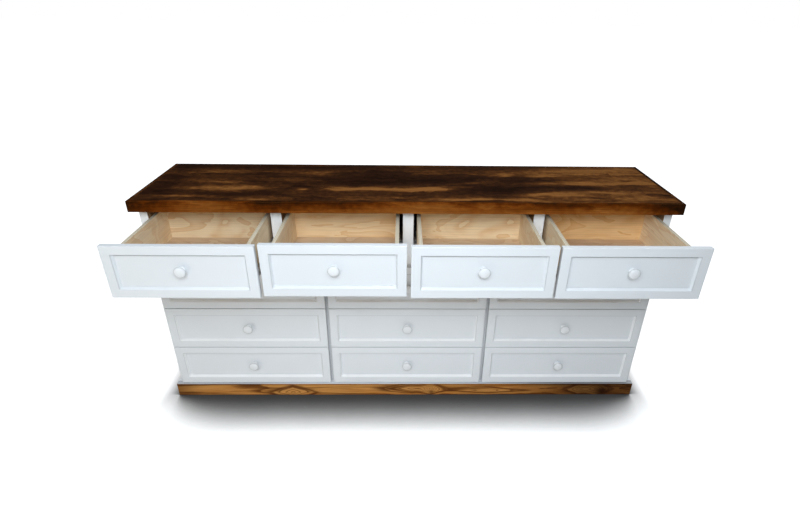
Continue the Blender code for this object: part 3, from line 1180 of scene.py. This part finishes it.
@dataclass(frozen=True)
class Top:
    """The stained top: a panel with an edging strip on its front and both ends."""

    ease: float = 0.0012
    panel_cell: tuple[float, float] = (0.012, 0.006)
    edging_cell: tuple[float, float] = (0.024, 0.005)
    streaks: tuple[Flame, ...] = (
        Streak(-0.763, 0.094, 0.130, 0.020, 0.48),
        Streak(-0.686, -0.022, 0.060, 0.011, 0.42),
        Streak(-0.760, -0.084, 0.130, 0.018, 0.38),
        Streak(-0.610, -0.080, 0.095, 0.020, 0.58),
        Streak(-0.806, -0.161, 0.090, 0.011, 0.58),
        Streak(-0.437, -0.005, 0.070, 0.028, 0.35),
        Streak(-0.355, 0.067, 0.070, 0.022, 0.40),
        Streak(-0.388, -0.097, 0.030, 0.012, 0.75),
        Streak(-0.210, -0.088, 0.100, 0.014, 0.80),
        Streak(-0.066, -0.091, 0.080, 0.015, 0.85),
        Streak(-0.479, -0.189, 0.050, 0.010, 0.45),
        Streak(-0.035, -0.163, 0.016, 0.007, 1.00),
        Streak(0.079, -0.080, 0.110, 0.022, 0.90),
        Streak(0.233, -0.012, 0.060, 0.018, 0.50),
        Streak(0.365, 0.073, 0.040, 0.015, 0.70),
        Streak(0.532, 0.072, 0.065, 0.012, 0.75),
        Streak(0.671, 0.134, 0.170, 0.015, 0.50),
        Streak(0.726, -0.011, 0.220, 0.012, 0.75),
        Streak(0.522, -0.130, 0.090, 0.018, 1.00),
        Streak(0.212, -0.178, 0.100, 0.010, 0.85),
        Streak(0.402, -0.184, 0.125, 0.015, 0.75),
        Streak(0.734, -0.107, 0.070, 0.012, 0.70),
        Streak(0.559, -0.200, 0.120, 0.008, 0.80),
        Streak(0.900, -0.011, 0.050, 0.016, 0.70),
        Streak(0.870, 0.156, 0.060, 0.014, 0.60),
        Flame(-0.880, 0.000, 0.060, 0.300, -0.35),
        Flame(-0.100, 0.020, 0.330, 0.055, -0.45),
        Flame(-0.480, 0.160, 0.330, 0.030, -0.40),
        Flame(0.320, -0.085, 0.110, 0.040, -0.33),
        Flame(0.640, -0.060, 0.150, 0.025, -0.33),
        Flame(0.500, 0.030, 0.260, 0.025, -0.28),
        Flame(-0.620, -0.140, 0.150, 0.018, -0.40),
        # This broad golden patch lightens the right end of the top: painted sheen.
        Flame(0.800, 0.000, 0.260, 0.400, 0.46),
    )
    front_patches: tuple[Flame, ...] = (
        Flame(-0.950, 0.0, 0.085, 0.2, -0.42),
        Flame(-0.480, 0.0, 0.060, 0.2, -0.15),
        Flame(-0.720, 0.0, 0.100, 0.2, 0.18),
        Flame(0.080, 0.0, 0.180, 0.2, 0.18),
        Flame(0.930, 0.0, 0.130, 0.2, -0.60),
        Flame(-0.400, 0.023, 0.700, 0.017, -0.34),
        Flame(0.150, 0.023, 0.300, 0.008, -0.20),
        Flame(0.000, -0.021, 4.000, 0.013, 0.12),
        Flame(0.600, 0.023, 0.320, 0.017, -0.36),
        Flame(0.560, -0.021, 0.300, 0.020, 0.18),
    )

    def build(self, finishes: Finishes) -> None:
        """Make the panel and its three strips."""
        self.strip("top_panel", Axis.X, Axis.Z, finishes.top, self.panel_cell, self.streaks)
        self.strip("top_edging_front", Axis.X, Axis.Y, finishes.edging, self.edging_cell, self.front_patches)
        self.strip("top_edging_left", Axis.Y, Axis.X, finishes.top, (0.0, 0.0), ())
        self.strip("top_edging_right", Axis.Y, Axis.X, finishes.top, (0.0, 0.0), ())

    def strip(
        self,
        node: str,
        run: Axis,
        thin: Axis,
        finish: bpy.types.Material,
        cell: tuple[float, float],
        flames: tuple[Flame, ...],
    ) -> None:
        """Make one board of the top.

        Args:
            node: The solid that it stands for.
            run: The direction of its grain.
            thin: The direction through it.
            finish: Its material.
            cell: The size of the cells that its figure is set on.
            flames: Its figure.
        """
        low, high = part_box(node)
        piece = Piece(node + "_board")
        Board(low, high, run, thin, node, self.ease, cell, flames).cut(piece)
        piece.stand(Body.CARCASS.value, [finish], [node], Slot.STAINED)


@dataclass(frozen=True)
class Plinth:
    """The stained base: four boards with painted upper edges, and a bearer across the middle."""

    ease: float = 0.0010
    cell: tuple[float, float] = (0.006, 0.004)
    flames: tuple[Flame, ...] = (
        Flame(-0.475, -0.016, 0.060, 0.022, 1.30, 1.1),
        Flame(0.020, 0.004, 0.065, 0.014, 0.90, 1.2),
        Flame(0.098, 0.002, 0.028, 0.018, 1.60, 1.4),
        Flame(0.345, -0.006, 0.115, 0.010, 1.00, 1.1),
        Flame(0.725, 0.000, 0.040, 0.018, 1.10, 1.1),
        Flame(0.800, 0.002, 0.040, 0.024, 1.40, 1.2),
    )
    stains: tuple[Flame, ...] = (
        Flame(0.860, 0.0, 0.330, 0.2, 0.72, 3.0),
        Flame(0.828, -0.010, 0.030, 0.026, 0.30),
        Flame(-0.960, 0.0, 0.075, 0.2, 0.55),
        Flame(0.105, -0.016, 0.010, 0.010, 0.75),
        Flame(0.550, 0.032, 0.300, 0.014, 0.45),
        Flame(-0.700, 0.032, 0.160, 0.008, 0.40),
    )

    def build(self, finishes: Finishes) -> None:
        """Make the boards and the bearer."""
        self.board("plinth_front", Axis.X, Axis.Y, finishes, self.flames, self.stains)
        self.board("plinth_back", Axis.X, Axis.Y, finishes, (), ())
        self.board("plinth_left", Axis.Y, Axis.X, finishes, (), ())
        self.board("plinth_right", Axis.Y, Axis.X, finishes, (), ())
        low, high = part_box("plinth_bearer")
        piece = Piece("plinth_bearer_board")
        Board(low, high, Axis.Y, Axis.X, piece.name, self.ease).cut(piece)
        piece.stand(Body.CARCASS.value, [finishes.raw], ["plinth_bearer"], Slot.STAINED)

    def board(
        self,
        node: str,
        run: Axis,
        thin: Axis,
        finishes: Finishes,
        flames: tuple[Flame, ...],
        stains: tuple[Flame, ...],
    ) -> None:
        """Make one outer board: stained outside, painted on top and bare inside.

        Args:
            node: The solid that it stands for.
            run: The direction of its grain.
            thin: The direction through it.
            finishes: The chest's materials.
            flames: Its figure.
            stains: Its dark patches.
        """
        low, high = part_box(node)
        middle = (low + high) / 2
        outward = math.copysign(1.0, middle[thin.value])
        cell = self.cell if flames else (0.0, 0.0)

        def slot_of(normal: Vector) -> int:
            """Return the slot: 0 stained, 1 painted, 2 bare."""
            if normal.z > 0.8:
                return 1
            return 2 if normal[thin.value] * outward < -0.8 else 0

        piece = Piece(node + "_board")
        Board(low, high, run, thin, node, self.ease, cell, flames, stains).cut(piece, slot_of)
        piece.stand(
            Body.CARCASS.value, [finishes.plinth, finishes.paint, finishes.raw], [node], Slot.STAINED
        )


@dataclass(frozen=True)
class Carcass:
    """The painted body: sides, shelf, dividers, bottom and the nailed back."""

    lip_reach: float = 0.0112
    ease: float = 0.0011
    nail_inset: float = 0.012
    nail_spacing: float = 0.115
    nail_size: float = 0.0032
    upper_dividers: int = 3
    lower_dividers: int = 2

    def build(self, finishes: Finishes, fittings: Fittings) -> None:
        """Make the boards and the nails of the back."""
        inward = Vector((self.lip_reach, 0, 0))
        left, right = Vector((-1, 0, 0)), Vector((1, 0, 0))
        nothing = Vector((0, 0, 0))
        self.board("left_side_panel", Axis.Z, Axis.X, finishes, (nothing, inward), (left,))
        self.board("right_side_panel", Axis.Z, Axis.X, finishes, (inward, nothing), (right,))
        self.board("middle_shelf", Axis.X, Axis.Z, finishes, (nothing, nothing), ())
        self.board("bottom_panel", Axis.X, Axis.Z, finishes, (nothing, nothing), (Vector((0, 0, 1)),))
        for row, count in (("upper", self.upper_dividers), ("lower", self.lower_dividers)):
            for number in range(1, count + 1):
                self.board(f"{row}_divider_{number}", Axis.Z, Axis.X, finishes, (inward, inward), ())
        self.back(finishes, fittings)

    def board(
        self,
        node: str,
        run: Axis,
        thin: Axis,
        finishes: Finishes,
        trim: tuple[Vector, Vector],
        painted: Sequence[Vector],
    ) -> None:
        """Make one board, painted on its front edge and on other chosen faces, and bare elsewhere.

        Args:
            node: The solid that it stands for.
            run: The direction of its grain.
            thin: The direction through it.
            finishes: The chest's materials.
            trim: What the slide tracks add to the solid at its low and high sides.
            painted: The directions of the other painted faces.
        """
        low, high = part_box(node)
        front = Vector((0, -1, 0))

        def slot_of(normal: Vector) -> int:
            """Return the slot: 0 painted, 1 bare, 2 the front edge in a whiter paint, painted light."""
            if normal.dot(front) > 0.3:
                return 2
            return 0 if any(normal.dot(direction) > 0.3 for direction in painted) else 1

        piece = Piece(node + "_board")
        Board(low + trim[0], high - trim[1], run, thin, node, self.ease).cut(piece, slot_of)
        coats = [finishes.paint, finishes.raw, finishes.edge_paint]
        piece.stand(Body.CARCASS.value, coats, [node], Slot.WHITE)

    def back(self, finishes: Finishes, fittings: Fittings) -> None:
        """Make the back and the nails round its edge."""
        low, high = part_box("back_panel")
        piece = Piece("back_panel_board")
        skin = 0.0009
        Board(low, high - Vector((0, skin, 0)), Axis.X, Axis.Y, piece.name, 0.0005).cut(piece)
        piece.stand(Body.CARCASS.value, [finishes.backing], ["back_panel"], Slot.PLYWOOD)
        inset = self.nail_inset
        x_ends, z_ends = (low.x + inset, high.x - inset), (low.z + inset, high.z - inset)
        outline = ((x_ends[0], z_ends[0]), (x_ends[1], z_ends[0]), (x_ends[1], z_ends[1]), (x_ends[0], z_ends[1]))
        corners = [Spot(Vector((x, high.y - skin, z)), Vector((0, 1, 0))) for x, z in outline]
        nails = fittings.set_along(
            "back_panel_nails", fittings.nail, self.nail_size, self.nail_spacing, corners
        )
        settle(nails, Body.CARCASS.value, ["back_panel"])


@dataclass(frozen=True)
class Knob:
    """A turned knob: a flat domed cap on a neck that flares into a round foot."""

    radius: float = 0.019
    rim: float = 0.016
    crown: float = 0.0065
    underside: float = 0.0035
    foot_radius: float = 0.0125
    foot_height: float = 0.003
    neck_angle: float = math.radians(150)
    edge_start: float = 0.78
    arris: float = 0.0006
    cap_steps: int = 30
    neck_steps: int = 6
    sides: int = 48

    def outline(self) -> list[tuple[float, float]]:
        """Return the outline as radius and distance from the foot, from the crown down."""
        points = []
        for step in range(self.cap_steps + 1):
            angle = self.neck_angle * step / self.cap_steps
            depth = self.crown if angle < math.pi / 2 else self.underside
            points.append((self.radius * math.sin(angle), self.rim + depth * math.cos(angle)))
        neck, high = points[-1]
        flare = self.foot_radius - self.arris
        for step in range(1, self.neck_steps + 1):
            share = step / self.neck_steps
            points.append((neck + (flare - neck) * share**3, high + (self.foot_height - high) * share))
        points.append((self.foot_radius, self.foot_height - self.arris))
        points.append((self.foot_radius, 0.0))
        points.append((0.0, 0.0))
        return points

    def build(self, drawer: str, finishes: Finishes) -> None:
        """Make the knob of one drawer, in the place of its solid."""
        low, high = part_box(drawer + "_knob")
        foot = Vector(((low.x + high.x) / 2, high.y, (low.z + high.z) / 2))
        piece = Piece(drawer + "_turned_knob")

        def mark(point: Vector) -> Marks:
            """Return the marks of a point; the rim mark, which paints shade, grows on the cap's edge and fades on the
            neck.
            """
            local = point - foot
            reach, radius = -local.y, math.hypot(local.x, local.z)
            edge = (radius / self.radius - self.edge_start) / (1.0 - self.edge_start)
            neck = (reach - self.foot_height) / (self.rim - self.foot_height)
            rim = edge if reach >= self.rim else neck
            return Marks(local=local, grain=point.copy(), rim=min(1.0, max(0.0, rim)))

        piece.add(turned(self.outline(), self.sides, foot), mark, rounded=True)
        piece.stand(drawer, [finishes.knob_paint], [drawer + "_knob"], Slot.WHITE)


@dataclass(frozen=True)
class Slide:
    """A pair of steel ball slides: channels on the cabinet, and bars on the drawer that run in them."""

    space: float = 0.0127
    height: float = 0.042
    rise: float = 0.046
    reach: float = 0.0108
    sheet: float = 0.0012
    turn_in: float = 0.0024
    lip: float = 0.0010
    bar_height: float = 0.030
    bar_reach: float = 0.0090
    bar_setback: float = 0.004
    ball_radius: float = 0.0022
    ball_place: float = 0.0174
    ball_out: float = 0.0067
    balls: int = 9
    ball_pitch: float = 0.0085
    screw_size: float = 0.0036
    track_front: float = -0.1682
    track_back: float = 0.1778

    def channel(self, panel: float, inward: float, middle: float) -> Section:
        """Return the section of a cabinet channel.

        Args:
            panel: Where the panel's face is in X.
            inward: +1 or -1, from the panel to the drawer.
            middle: The height of the channel's middle.

        Returns:
            The section's corners.
        """
        half, inner = self.height / 2, self.height / 2 - self.sheet
        lower = [
            (0.0, -half),
            (self.reach, -half),
            (self.reach, self.turn_in - half),
            (self.reach - self.lip, self.turn_in - half),
            (self.reach - self.lip, -inner),
            (self.sheet, -inner),
        ]
        corners = lower + [(out, -up) for out, up in reversed(lower)]
        return [(panel + inward * out, middle + up) for out, up in corners]

    def bar(self, wall: float, outward: float, middle: float) -> Section:
        """Return the section of a drawer bar.

        Args:
            wall: Where the box's outer face is in X.
            outward: +1 or -1, from the box to the panel.
            middle: The height of the bar's middle.

        Returns:
            The section's corners.
        """
        half, inner = self.bar_height / 2, self.bar_height / 2 - self.sheet
        lower = [(0.0, -half), (self.bar_reach, -half), (self.bar_reach, -inner), (self.sheet, -inner)]
        corners = lower + [(out, -up) for out, up in reversed(lower)]
        return [(wall + outward * out, middle + up) for out, up in corners]

    def build(self, drawer: "Drawer", finishes: Finishes, fittings: Fittings) -> None:
        """Make both slides of one drawer.

        Args:
            drawer: The drawer.
            finishes: The chest's materials.
            fittings: The screws and balls.
        """
        low, high = drawer.box()
        middle = drawer.base() + self.rise
        tracks, bars = Piece(drawer.name + "_tracks"), Piece(drawer.name + "_slide_bars")
        screws: list[Spot] = []
        balls: list[Spot] = []
        for wall, outward in ((low.x, -1.0), (high.x, 1.0)):
            panel = wall + outward * self.space
            channel = self.channel(panel, -outward, middle)
            tracks.add(drawn(channel, self.track_front, self.track_back), plain_marks)
            start, end = low.y + self.bar_setback, high.y - self.bar_setback
            bars.add(drawn(self.bar(wall, outward, middle), start, end), plain_marks)
            side = Vector((outward, 0, 0))
            for share in (0.06, 0.5, 0.9):
                y = self.track_front + (self.track_back - self.track_front) * share
                screws.append(Spot(Vector((panel - outward * self.sheet, y, middle)), -side))
            for number in range(self.balls):
                y = end - self.ball_pitch * (number + 0.7)
                for up in (self.ball_place, -self.ball_place):
                    balls.append(Spot(Vector((wall + outward * self.ball_out, y, middle + up)), side))
        posts = drawer.panels()
        tracks.stand(Body.CARCASS.value, [finishes.steel], posts)
        bars.stand(drawer.name, [finishes.steel], [drawer.name + "_box"])
        heads = fittings.set_at(
            drawer.name + "_track_screws", fittings.screw, self.screw_size, finishes.steel, screws
        )
        settle(heads, Body.CARCASS.value, posts)
        row = fittings.set_at(
            drawer.name + "_slide_balls", fittings.ball, self.ball_radius, finishes.steel, balls
        )
        settle(row, drawer.name, [drawer.name + "_box"])


@dataclass(frozen=True)
class Drawer:
    """One drawer: a painted front with a knob, a plywood box, its slides, screws and nails."""

    row: int
    column: int
    columns: int
    bar_reach: float = 0.0117
    wall: float = 0.012
    bottom_rise: float = 0.0125
    bottom_thick: float = 0.006
    groove_gap: float = 0.0002
    ease: float = 0.0008
    fixing_inset: float = 0.055
    fixing_rise: float = 0.032
    fixing_size: float = 0.0038
    knob_screw_size: float = 0.0045
    nail_size: float = 0.0014
    nails: int = 4
    amber: float = 0.0
    # The painted light on the sunk slopes of the lower fronts, by side: bottom, right, top and left.
    low_slope_painted_light: Sides = (2.0, 1.7, 0.0, 2.0)

    @property
    def name(self) -> str:
        """Return the drawer's name, which is its body's too."""
        return f"drawer_{self.row}_{self.column}"

    def base(self) -> float:
        """Return the height of the front's lower edge."""
        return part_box(self.name + "_front")[0].z

    def box(self) -> tuple[Vector, Vector]:
        """Return the corners of the box without its slide bars."""
        low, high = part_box(self.name + "_box")
        bar = Vector((self.bar_reach, 0, 0))
        return low + bar, high - bar

    def panels(self) -> list[str]:
        """Return the two upright boards that carry the drawer's tracks."""
        row = "upper" if self.row == 1 else "lower"
        left = "left_side_panel" if self.column == 1 else f"{row}_divider_{self.column - 1}"
        right = "right_side_panel" if self.column == self.columns else f"{row}_divider_{self.column}"
        return [left, right]

    def build(self, finishes: Finishes, fittings: Fittings) -> None:
        """Make the whole drawer."""
        low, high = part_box(self.name + "_front")
        front = Piece(self.name + "_framed_front")
        # The lower fronts take painted light on their slopes.
        slope_painted_light = FramedFront.slope_painted_light if self.row == 1 else self.low_slope_painted_light
        FramedFront(low, high, front.name, slope_painted_light=slope_painted_light).cut(front)
        front.stand(self.name, [finishes.paint], [self.name + "_front"], Slot.WHITE)
        Knob().build(self.name, finishes)
        self.walls(finishes)
        Slide().build(self, finishes, fittings)
        self.fixings(finishes, fittings)

    def walls(self, finishes: Finishes) -> None:
        """Make the box: two sides, a front wall and a back wall between them, and a grooved-in bottom."""
        low, high = self.box()
        piece = Piece(self.name + "_ply_box")
        near, far = low.y + self.wall, high.y - self.wall
        left, right = low.x + self.wall, high.x - self.wall
        gap = self.groove_gap
        soak = (Flame(0.0, 0.0, 9.0, 9.0, self.amber),)
        tint = {"back": soak}
        walls = (
            ("left", Vector((low.x, low.y, low.z)), Vector((left, high.y, high.z)), Axis.Y, Axis.X),
            ("right", Vector((right, low.y, low.z)), Vector((high.x, high.y, high.z)), Axis.Y, Axis.X),
            ("front", Vector((left + gap / 2, low.y, low.z)), Vector((right - gap / 2, near, high.z)), Axis.X, Axis.Y),
            ("back", Vector((left + gap / 2, far, low.z)), Vector((right - gap / 2, high.y, high.z)), Axis.X, Axis.Y),
        )
        for word, start, end, run, thin in walls:

            def slot_of(normal: Vector, through: Axis = thin) -> int:
                """Return the slot: 0 veneer across the box, 1 sawn edge, 3 the sides' veneer in a paler copy, painted
                light.
                """
                if abs(normal[through.value]) <= 0.8:
                    return 1
                return 3 if through is Axis.X else 0

            Board(start, end, run, thin, f"{piece.name}_{word}", self.ease, stains=tint.get(word, ())).cut(piece, slot_of)
        foot = low.z + self.bottom_rise
        start = Vector((left + gap, near + gap, foot))
        end = Vector((right - gap, far - gap, foot + self.bottom_thick))
        Board(start, end, Axis.X, Axis.Z, piece.name + "_bottom", 0.0003).cut(piece, lambda normal: 2)
        plies = [finishes.veneer, finishes.ply_edge, finishes.tray, finishes.wall]
        piece.stand(self.name, plies, [self.name + "_box"], Slot.PLYWOOD)

    def fixings(self, finishes: Finishes, fittings: Fittings) -> None:
        """Make the screws inside the front wall and the nails at the corners of the sides."""
        low, high = self.box()
        inner, middle = low.y + self.wall, (low.x + high.x) / 2
        level = self.base() + (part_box(self.name + "_front")[1].z - self.base()) / 2
        back = Vector((0, 1, 0))
        reach = (high.x - low.x) / 2 - self.wall - self.fixing_inset
        screws = [
            Spot(Vector((middle + side * reach, inner, level + up)), back)
            for side in (-1, 1)
            for up in (-self.fixing_rise, self.fixing_rise)
        ]
        heads = fittings.set_at(
            self.name + "_front_screws", fittings.screw, self.fixing_size, finishes.steel, screws
        )
        settle(heads, self.name, [self.name + "_box"])
        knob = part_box(self.name + "_knob")
        knob_spot = [Spot(Vector((middle, inner, (knob[0].z + knob[1].z) / 2)), back)]
        head = fittings.set_at(
            self.name + "_knob_screw", fittings.screw, self.knob_screw_size, finishes.steel, knob_spot
        )
        settle(head, self.name, [self.name + "_box"])
        nails = []
        for face, outward in ((low.x, -1.0), (high.x, 1.0)):
            for y in (low.y + self.wall / 2, high.y - self.wall / 2):
                for number in range(self.nails):
                    z = low.z + (high.z - low.z) * (number + 0.5) / self.nails
                    nails.append(Spot(Vector((face, y, z)), Vector((outward, 0, 0))))
        pins = fittings.set_at(self.name + "_side_nails", fittings.nail, self.nail_size, finishes.nail, nails)
        settle(pins, self.name, [self.name + "_box"])


def aim_lamp(light: bpy.types.Light, place: Vector, away: Vector) -> None:
    """Put a light in the scene.

    Args:
        light: The light.
        place: Where it hangs.
        away: The direction from what it lights to the light.
    """
    made = bpy.data.objects.new(light.name, light)
    made.location = place
    made.rotation_euler = away.to_track_quat("Z", "Y").to_euler()
    made.visible_camera = False
    bpy.context.scene.collection.objects.link(made)


@dataclass(frozen=True)
class Lamp:
    """A soft box: a bright rectangle that faces what it lights."""

    name: str
    place: tuple[float, float, float]
    aim: tuple[float, float, float]
    size: tuple[float, float]
    power: float
    colour: Colour = (0.90, 0.955, 1.0)

    def hang(self) -> None:
        """Make the lamp."""
        light = bpy.data.lights.new(self.name, "AREA")
        light.shape = "RECTANGLE"
        light.size, light.size_y = self.size
        light.energy = self.power
        light.color = self.colour
        aim_lamp(light, Vector(self.place), Vector(self.place) - Vector(self.aim))


@dataclass(frozen=True)
class Studio:
    """A white floor, soft light from above and the left, and the camera."""

    camera_place: tuple[float, float, float] = (-0.02189, -1.73890, 1.50893)
    camera_turn: tuple[float, float, float] = (63.66324, -0.70576, -0.82632)
    lens: float = 21.8773
    sensor: float = 36.0
    shift: tuple[float, float] = (-0.01372, -0.03411)
    sky: Colour = (0.88, 0.945, 1.0)
    sky_horizon: float = 0.06
    sky_zenith: float = 0.85
    lamps: tuple[Lamp, ...] = (
        Lamp("key_lamp", (-0.06, -1.31, 1.53), (0.0, -0.30, 0.58), (1.2, 0.55), 11.6, (0.865, 0.94, 1.0)),
        Lamp("front_lamp", (-0.20, -2.90, 2.80), (0.0, -0.30, 0.50), (1.4, 0.8), 25.0),
        Lamp("side_lamp", (-1.55, -1.55, 0.60), (-0.4, -0.30, 0.30), (1.0, 0.8), 4.0, (1.0, 0.93, 0.80)),
        Lamp("foot_lamp", (-0.10, -0.92, 0.13), (-0.10, -0.20, 0.10), (1.8, 0.16), 1.0, (0.96, 0.97, 1.0)),
    )
    fill_from: tuple[float, float, float] = (0.3, 0.9, 0.4)
    fill_strength: float = 0.5
    fill_angle: float = math.radians(50)
    floor_half: float = 30.0
    floor_drop: float = 0.0004
    floor_pale: Colour = (0.66, 0.635, 0.60)
    floor_glow: float = 0.70
    shadow_reach: float = 0.34
    shadow_depth: float = 2.7
    shadow_core: float = 0.03
    shadow_ends: tuple[float, float] = (0.93, 1.06)

    def build(self) -> None:
        """Make the light, the floor and the camera."""
        bpy.context.scene.view_settings.view_transform = "Standard"
        self.light()
        self.floor()
        self.camera()

    def light(self) -> None:
        """Make the sky, which the camera sees as plain white, the soft lamps and a soft sun from behind."""
        world = bpy.data.worlds.new("studio")
        bpy.context.scene.world = world
        world.use_nodes = True
        tree = world.node_tree
        tree.nodes.clear()
        ray = tree.nodes.new("ShaderNodeLightPath").outputs
        seen = tree.nodes.new("ShaderNodeMath")
        seen.operation = "MAXIMUM"
        tree.links.new(ray["Is Camera Ray"], seen.inputs[0])
        shown = tree.nodes.new("ShaderNodeMath")
        shown.operation = "MAXIMUM"
        tree.links.new(ray["Is Glossy Ray"], seen.inputs[1])
        tree.links.new(seen.outputs[0], shown.inputs[0])
        tree.links.new(ray["Is Transmission Ray"], shown.inputs[1])
        sky, white = tree.nodes.new("ShaderNodeBackground"), tree.nodes.new("ShaderNodeBackground")
        sky.inputs["Color"].default_value = (*self.sky, 1.0)
        height = tree.nodes.new("ShaderNodeSeparateXYZ")
        tree.links.new(tree.nodes.new("ShaderNodeTexCoord").outputs["Generated"], height.inputs[0])
        fade = tree.nodes.new("ShaderNodeMapRange")
        for socket, value in zip(fade.inputs[1:], (0.45, 0.95, self.sky_horizon, self.sky_zenith)):
            socket.default_value = value
        tree.links.new(height.outputs["Z"], fade.inputs[0])
        tree.links.new(fade.outputs[0], sky.inputs["Strength"])
        white.inputs["Color"].default_value = (1.0, 1.0, 1.0, 1.0)
        white.inputs["Strength"].default_value = 1.0
        mix = tree.nodes.new("ShaderNodeMixShader")
        tree.links.new(shown.outputs[0], mix.inputs[0])
        tree.links.new(sky.outputs[0], mix.inputs[1])
        tree.links.new(white.outputs[0], mix.inputs[2])
        tree.links.new(mix.outputs[0], tree.nodes.new("ShaderNodeOutputWorld").inputs["Surface"])
        for lamp in self.lamps:
            lamp.hang()
        fill = bpy.data.lights.new("fill_lamp", "SUN")
        fill.energy = self.fill_strength
        fill.angle = self.fill_angle
        aim_lamp(fill, Vector(self.fill_from), Vector(self.fill_from))

    def floor(self) -> None:
        """Make the floor: white, and darker where the chest stands close over it."""
        half, drop = self.floor_half, -self.floor_drop
        mesh = bpy.data.meshes.new("floor")
        corners = [(-half, -half, drop), (half, -half, drop), (half, half, drop), (-half, half, drop)]
        mesh.from_pydata(corners, [], [(0, 1, 2, 3)])
        graph = Graph("floor_white")
        near = graph.node("ShaderNodeAmbientOcclusion", {"Distance": self.shadow_reach}, samples=48)
        clear = graph.maths("POWER", graph.span(near.outputs["AO"], 0.39, 1.0), self.shadow_depth)
        aside = graph.span(graph.maths("ABSOLUTE", graph.split(graph.place())[0]), *self.shadow_ends)
        clear = graph.maths("MAXIMUM", clear, aside)
        ray = graph.node("ShaderNodeLightPath", {}).outputs["Is Camera Ray"]
        white = graph.blend(clear, (self.shadow_core,) * 3, (1.0, 1.0, 1.0))
        graph.feed(graph.shader.inputs["Emission Color"], white)
        graph.feed(graph.shader.inputs["Emission Strength"], graph.maths("MULTIPLY", ray, self.floor_glow))
        colour = graph.blend(ray, self.floor_pale, white)
        mesh.materials.append(graph.dress(colour, 0.9, Specular_IOR_Level=0.0))
        made = bpy.data.objects.new("floor", mesh)
        bpy.context.scene.collection.objects.link(made)
        made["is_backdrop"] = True

    def camera(self) -> None:
        """Make the camera."""
        data = bpy.data.cameras.new("camera")
        data.sensor_width = self.sensor
        data.lens = self.lens
        data.shift_x, data.shift_y = self.shift
        made = bpy.data.objects.new("camera", data)
        made.location = self.camera_place
        made.rotation_euler = Euler([math.radians(turn) for turn in self.camera_turn], "XYZ")
        bpy.context.scene.collection.objects.link(made)
        bpy.context.scene.camera = made


@dataclass(frozen=True)
class Chest:
    """The whole chest."""

    upper_columns: int = 4
    box_amber: tuple[float, ...] = (0.0, 0.1, 0.0, 0.8)
    lower_columns: int = 3
    lower_rows: int = 3

    def drawers(self) -> list[Drawer]:
        """Return every drawer, row 1 at the top and column 1 at the left."""
        upper = [
            Drawer(1, column, self.upper_columns, amber=self.box_amber[column - 1])
            for column in range(1, self.upper_columns + 1)
        ]
        lower = [
            Drawer(row, column, self.lower_columns)
            for row in range(2, self.lower_rows + 2)
            for column in range(1, self.lower_columns + 1)
        ]
        return upper + lower

    def build(self) -> None:
        """Make every piece."""
        finishes = Finishes.mix()
        fittings = Fittings(finishes)
        Top().build(finishes)
        Plinth().build(finishes)
        Carcass().build(finishes, fittings)
        for drawer in self.drawers():
            drawer.build(finishes, fittings)
        fittings.clear()


def main() -> None:
    """Build the studio and the chest."""
    logging.basicConfig(level=logging.INFO, format="%(name)s: %(message)s")
    noise.seed_set(WAVE_SEED)
    Studio().build()
    Chest().build()
    boxes = {"cad": CAD_BOX, "visual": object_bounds()}
    {key: [list(corner) for corner in corners] for key, corners in boxes.items()}


if __name__ == "__main__":
    main()
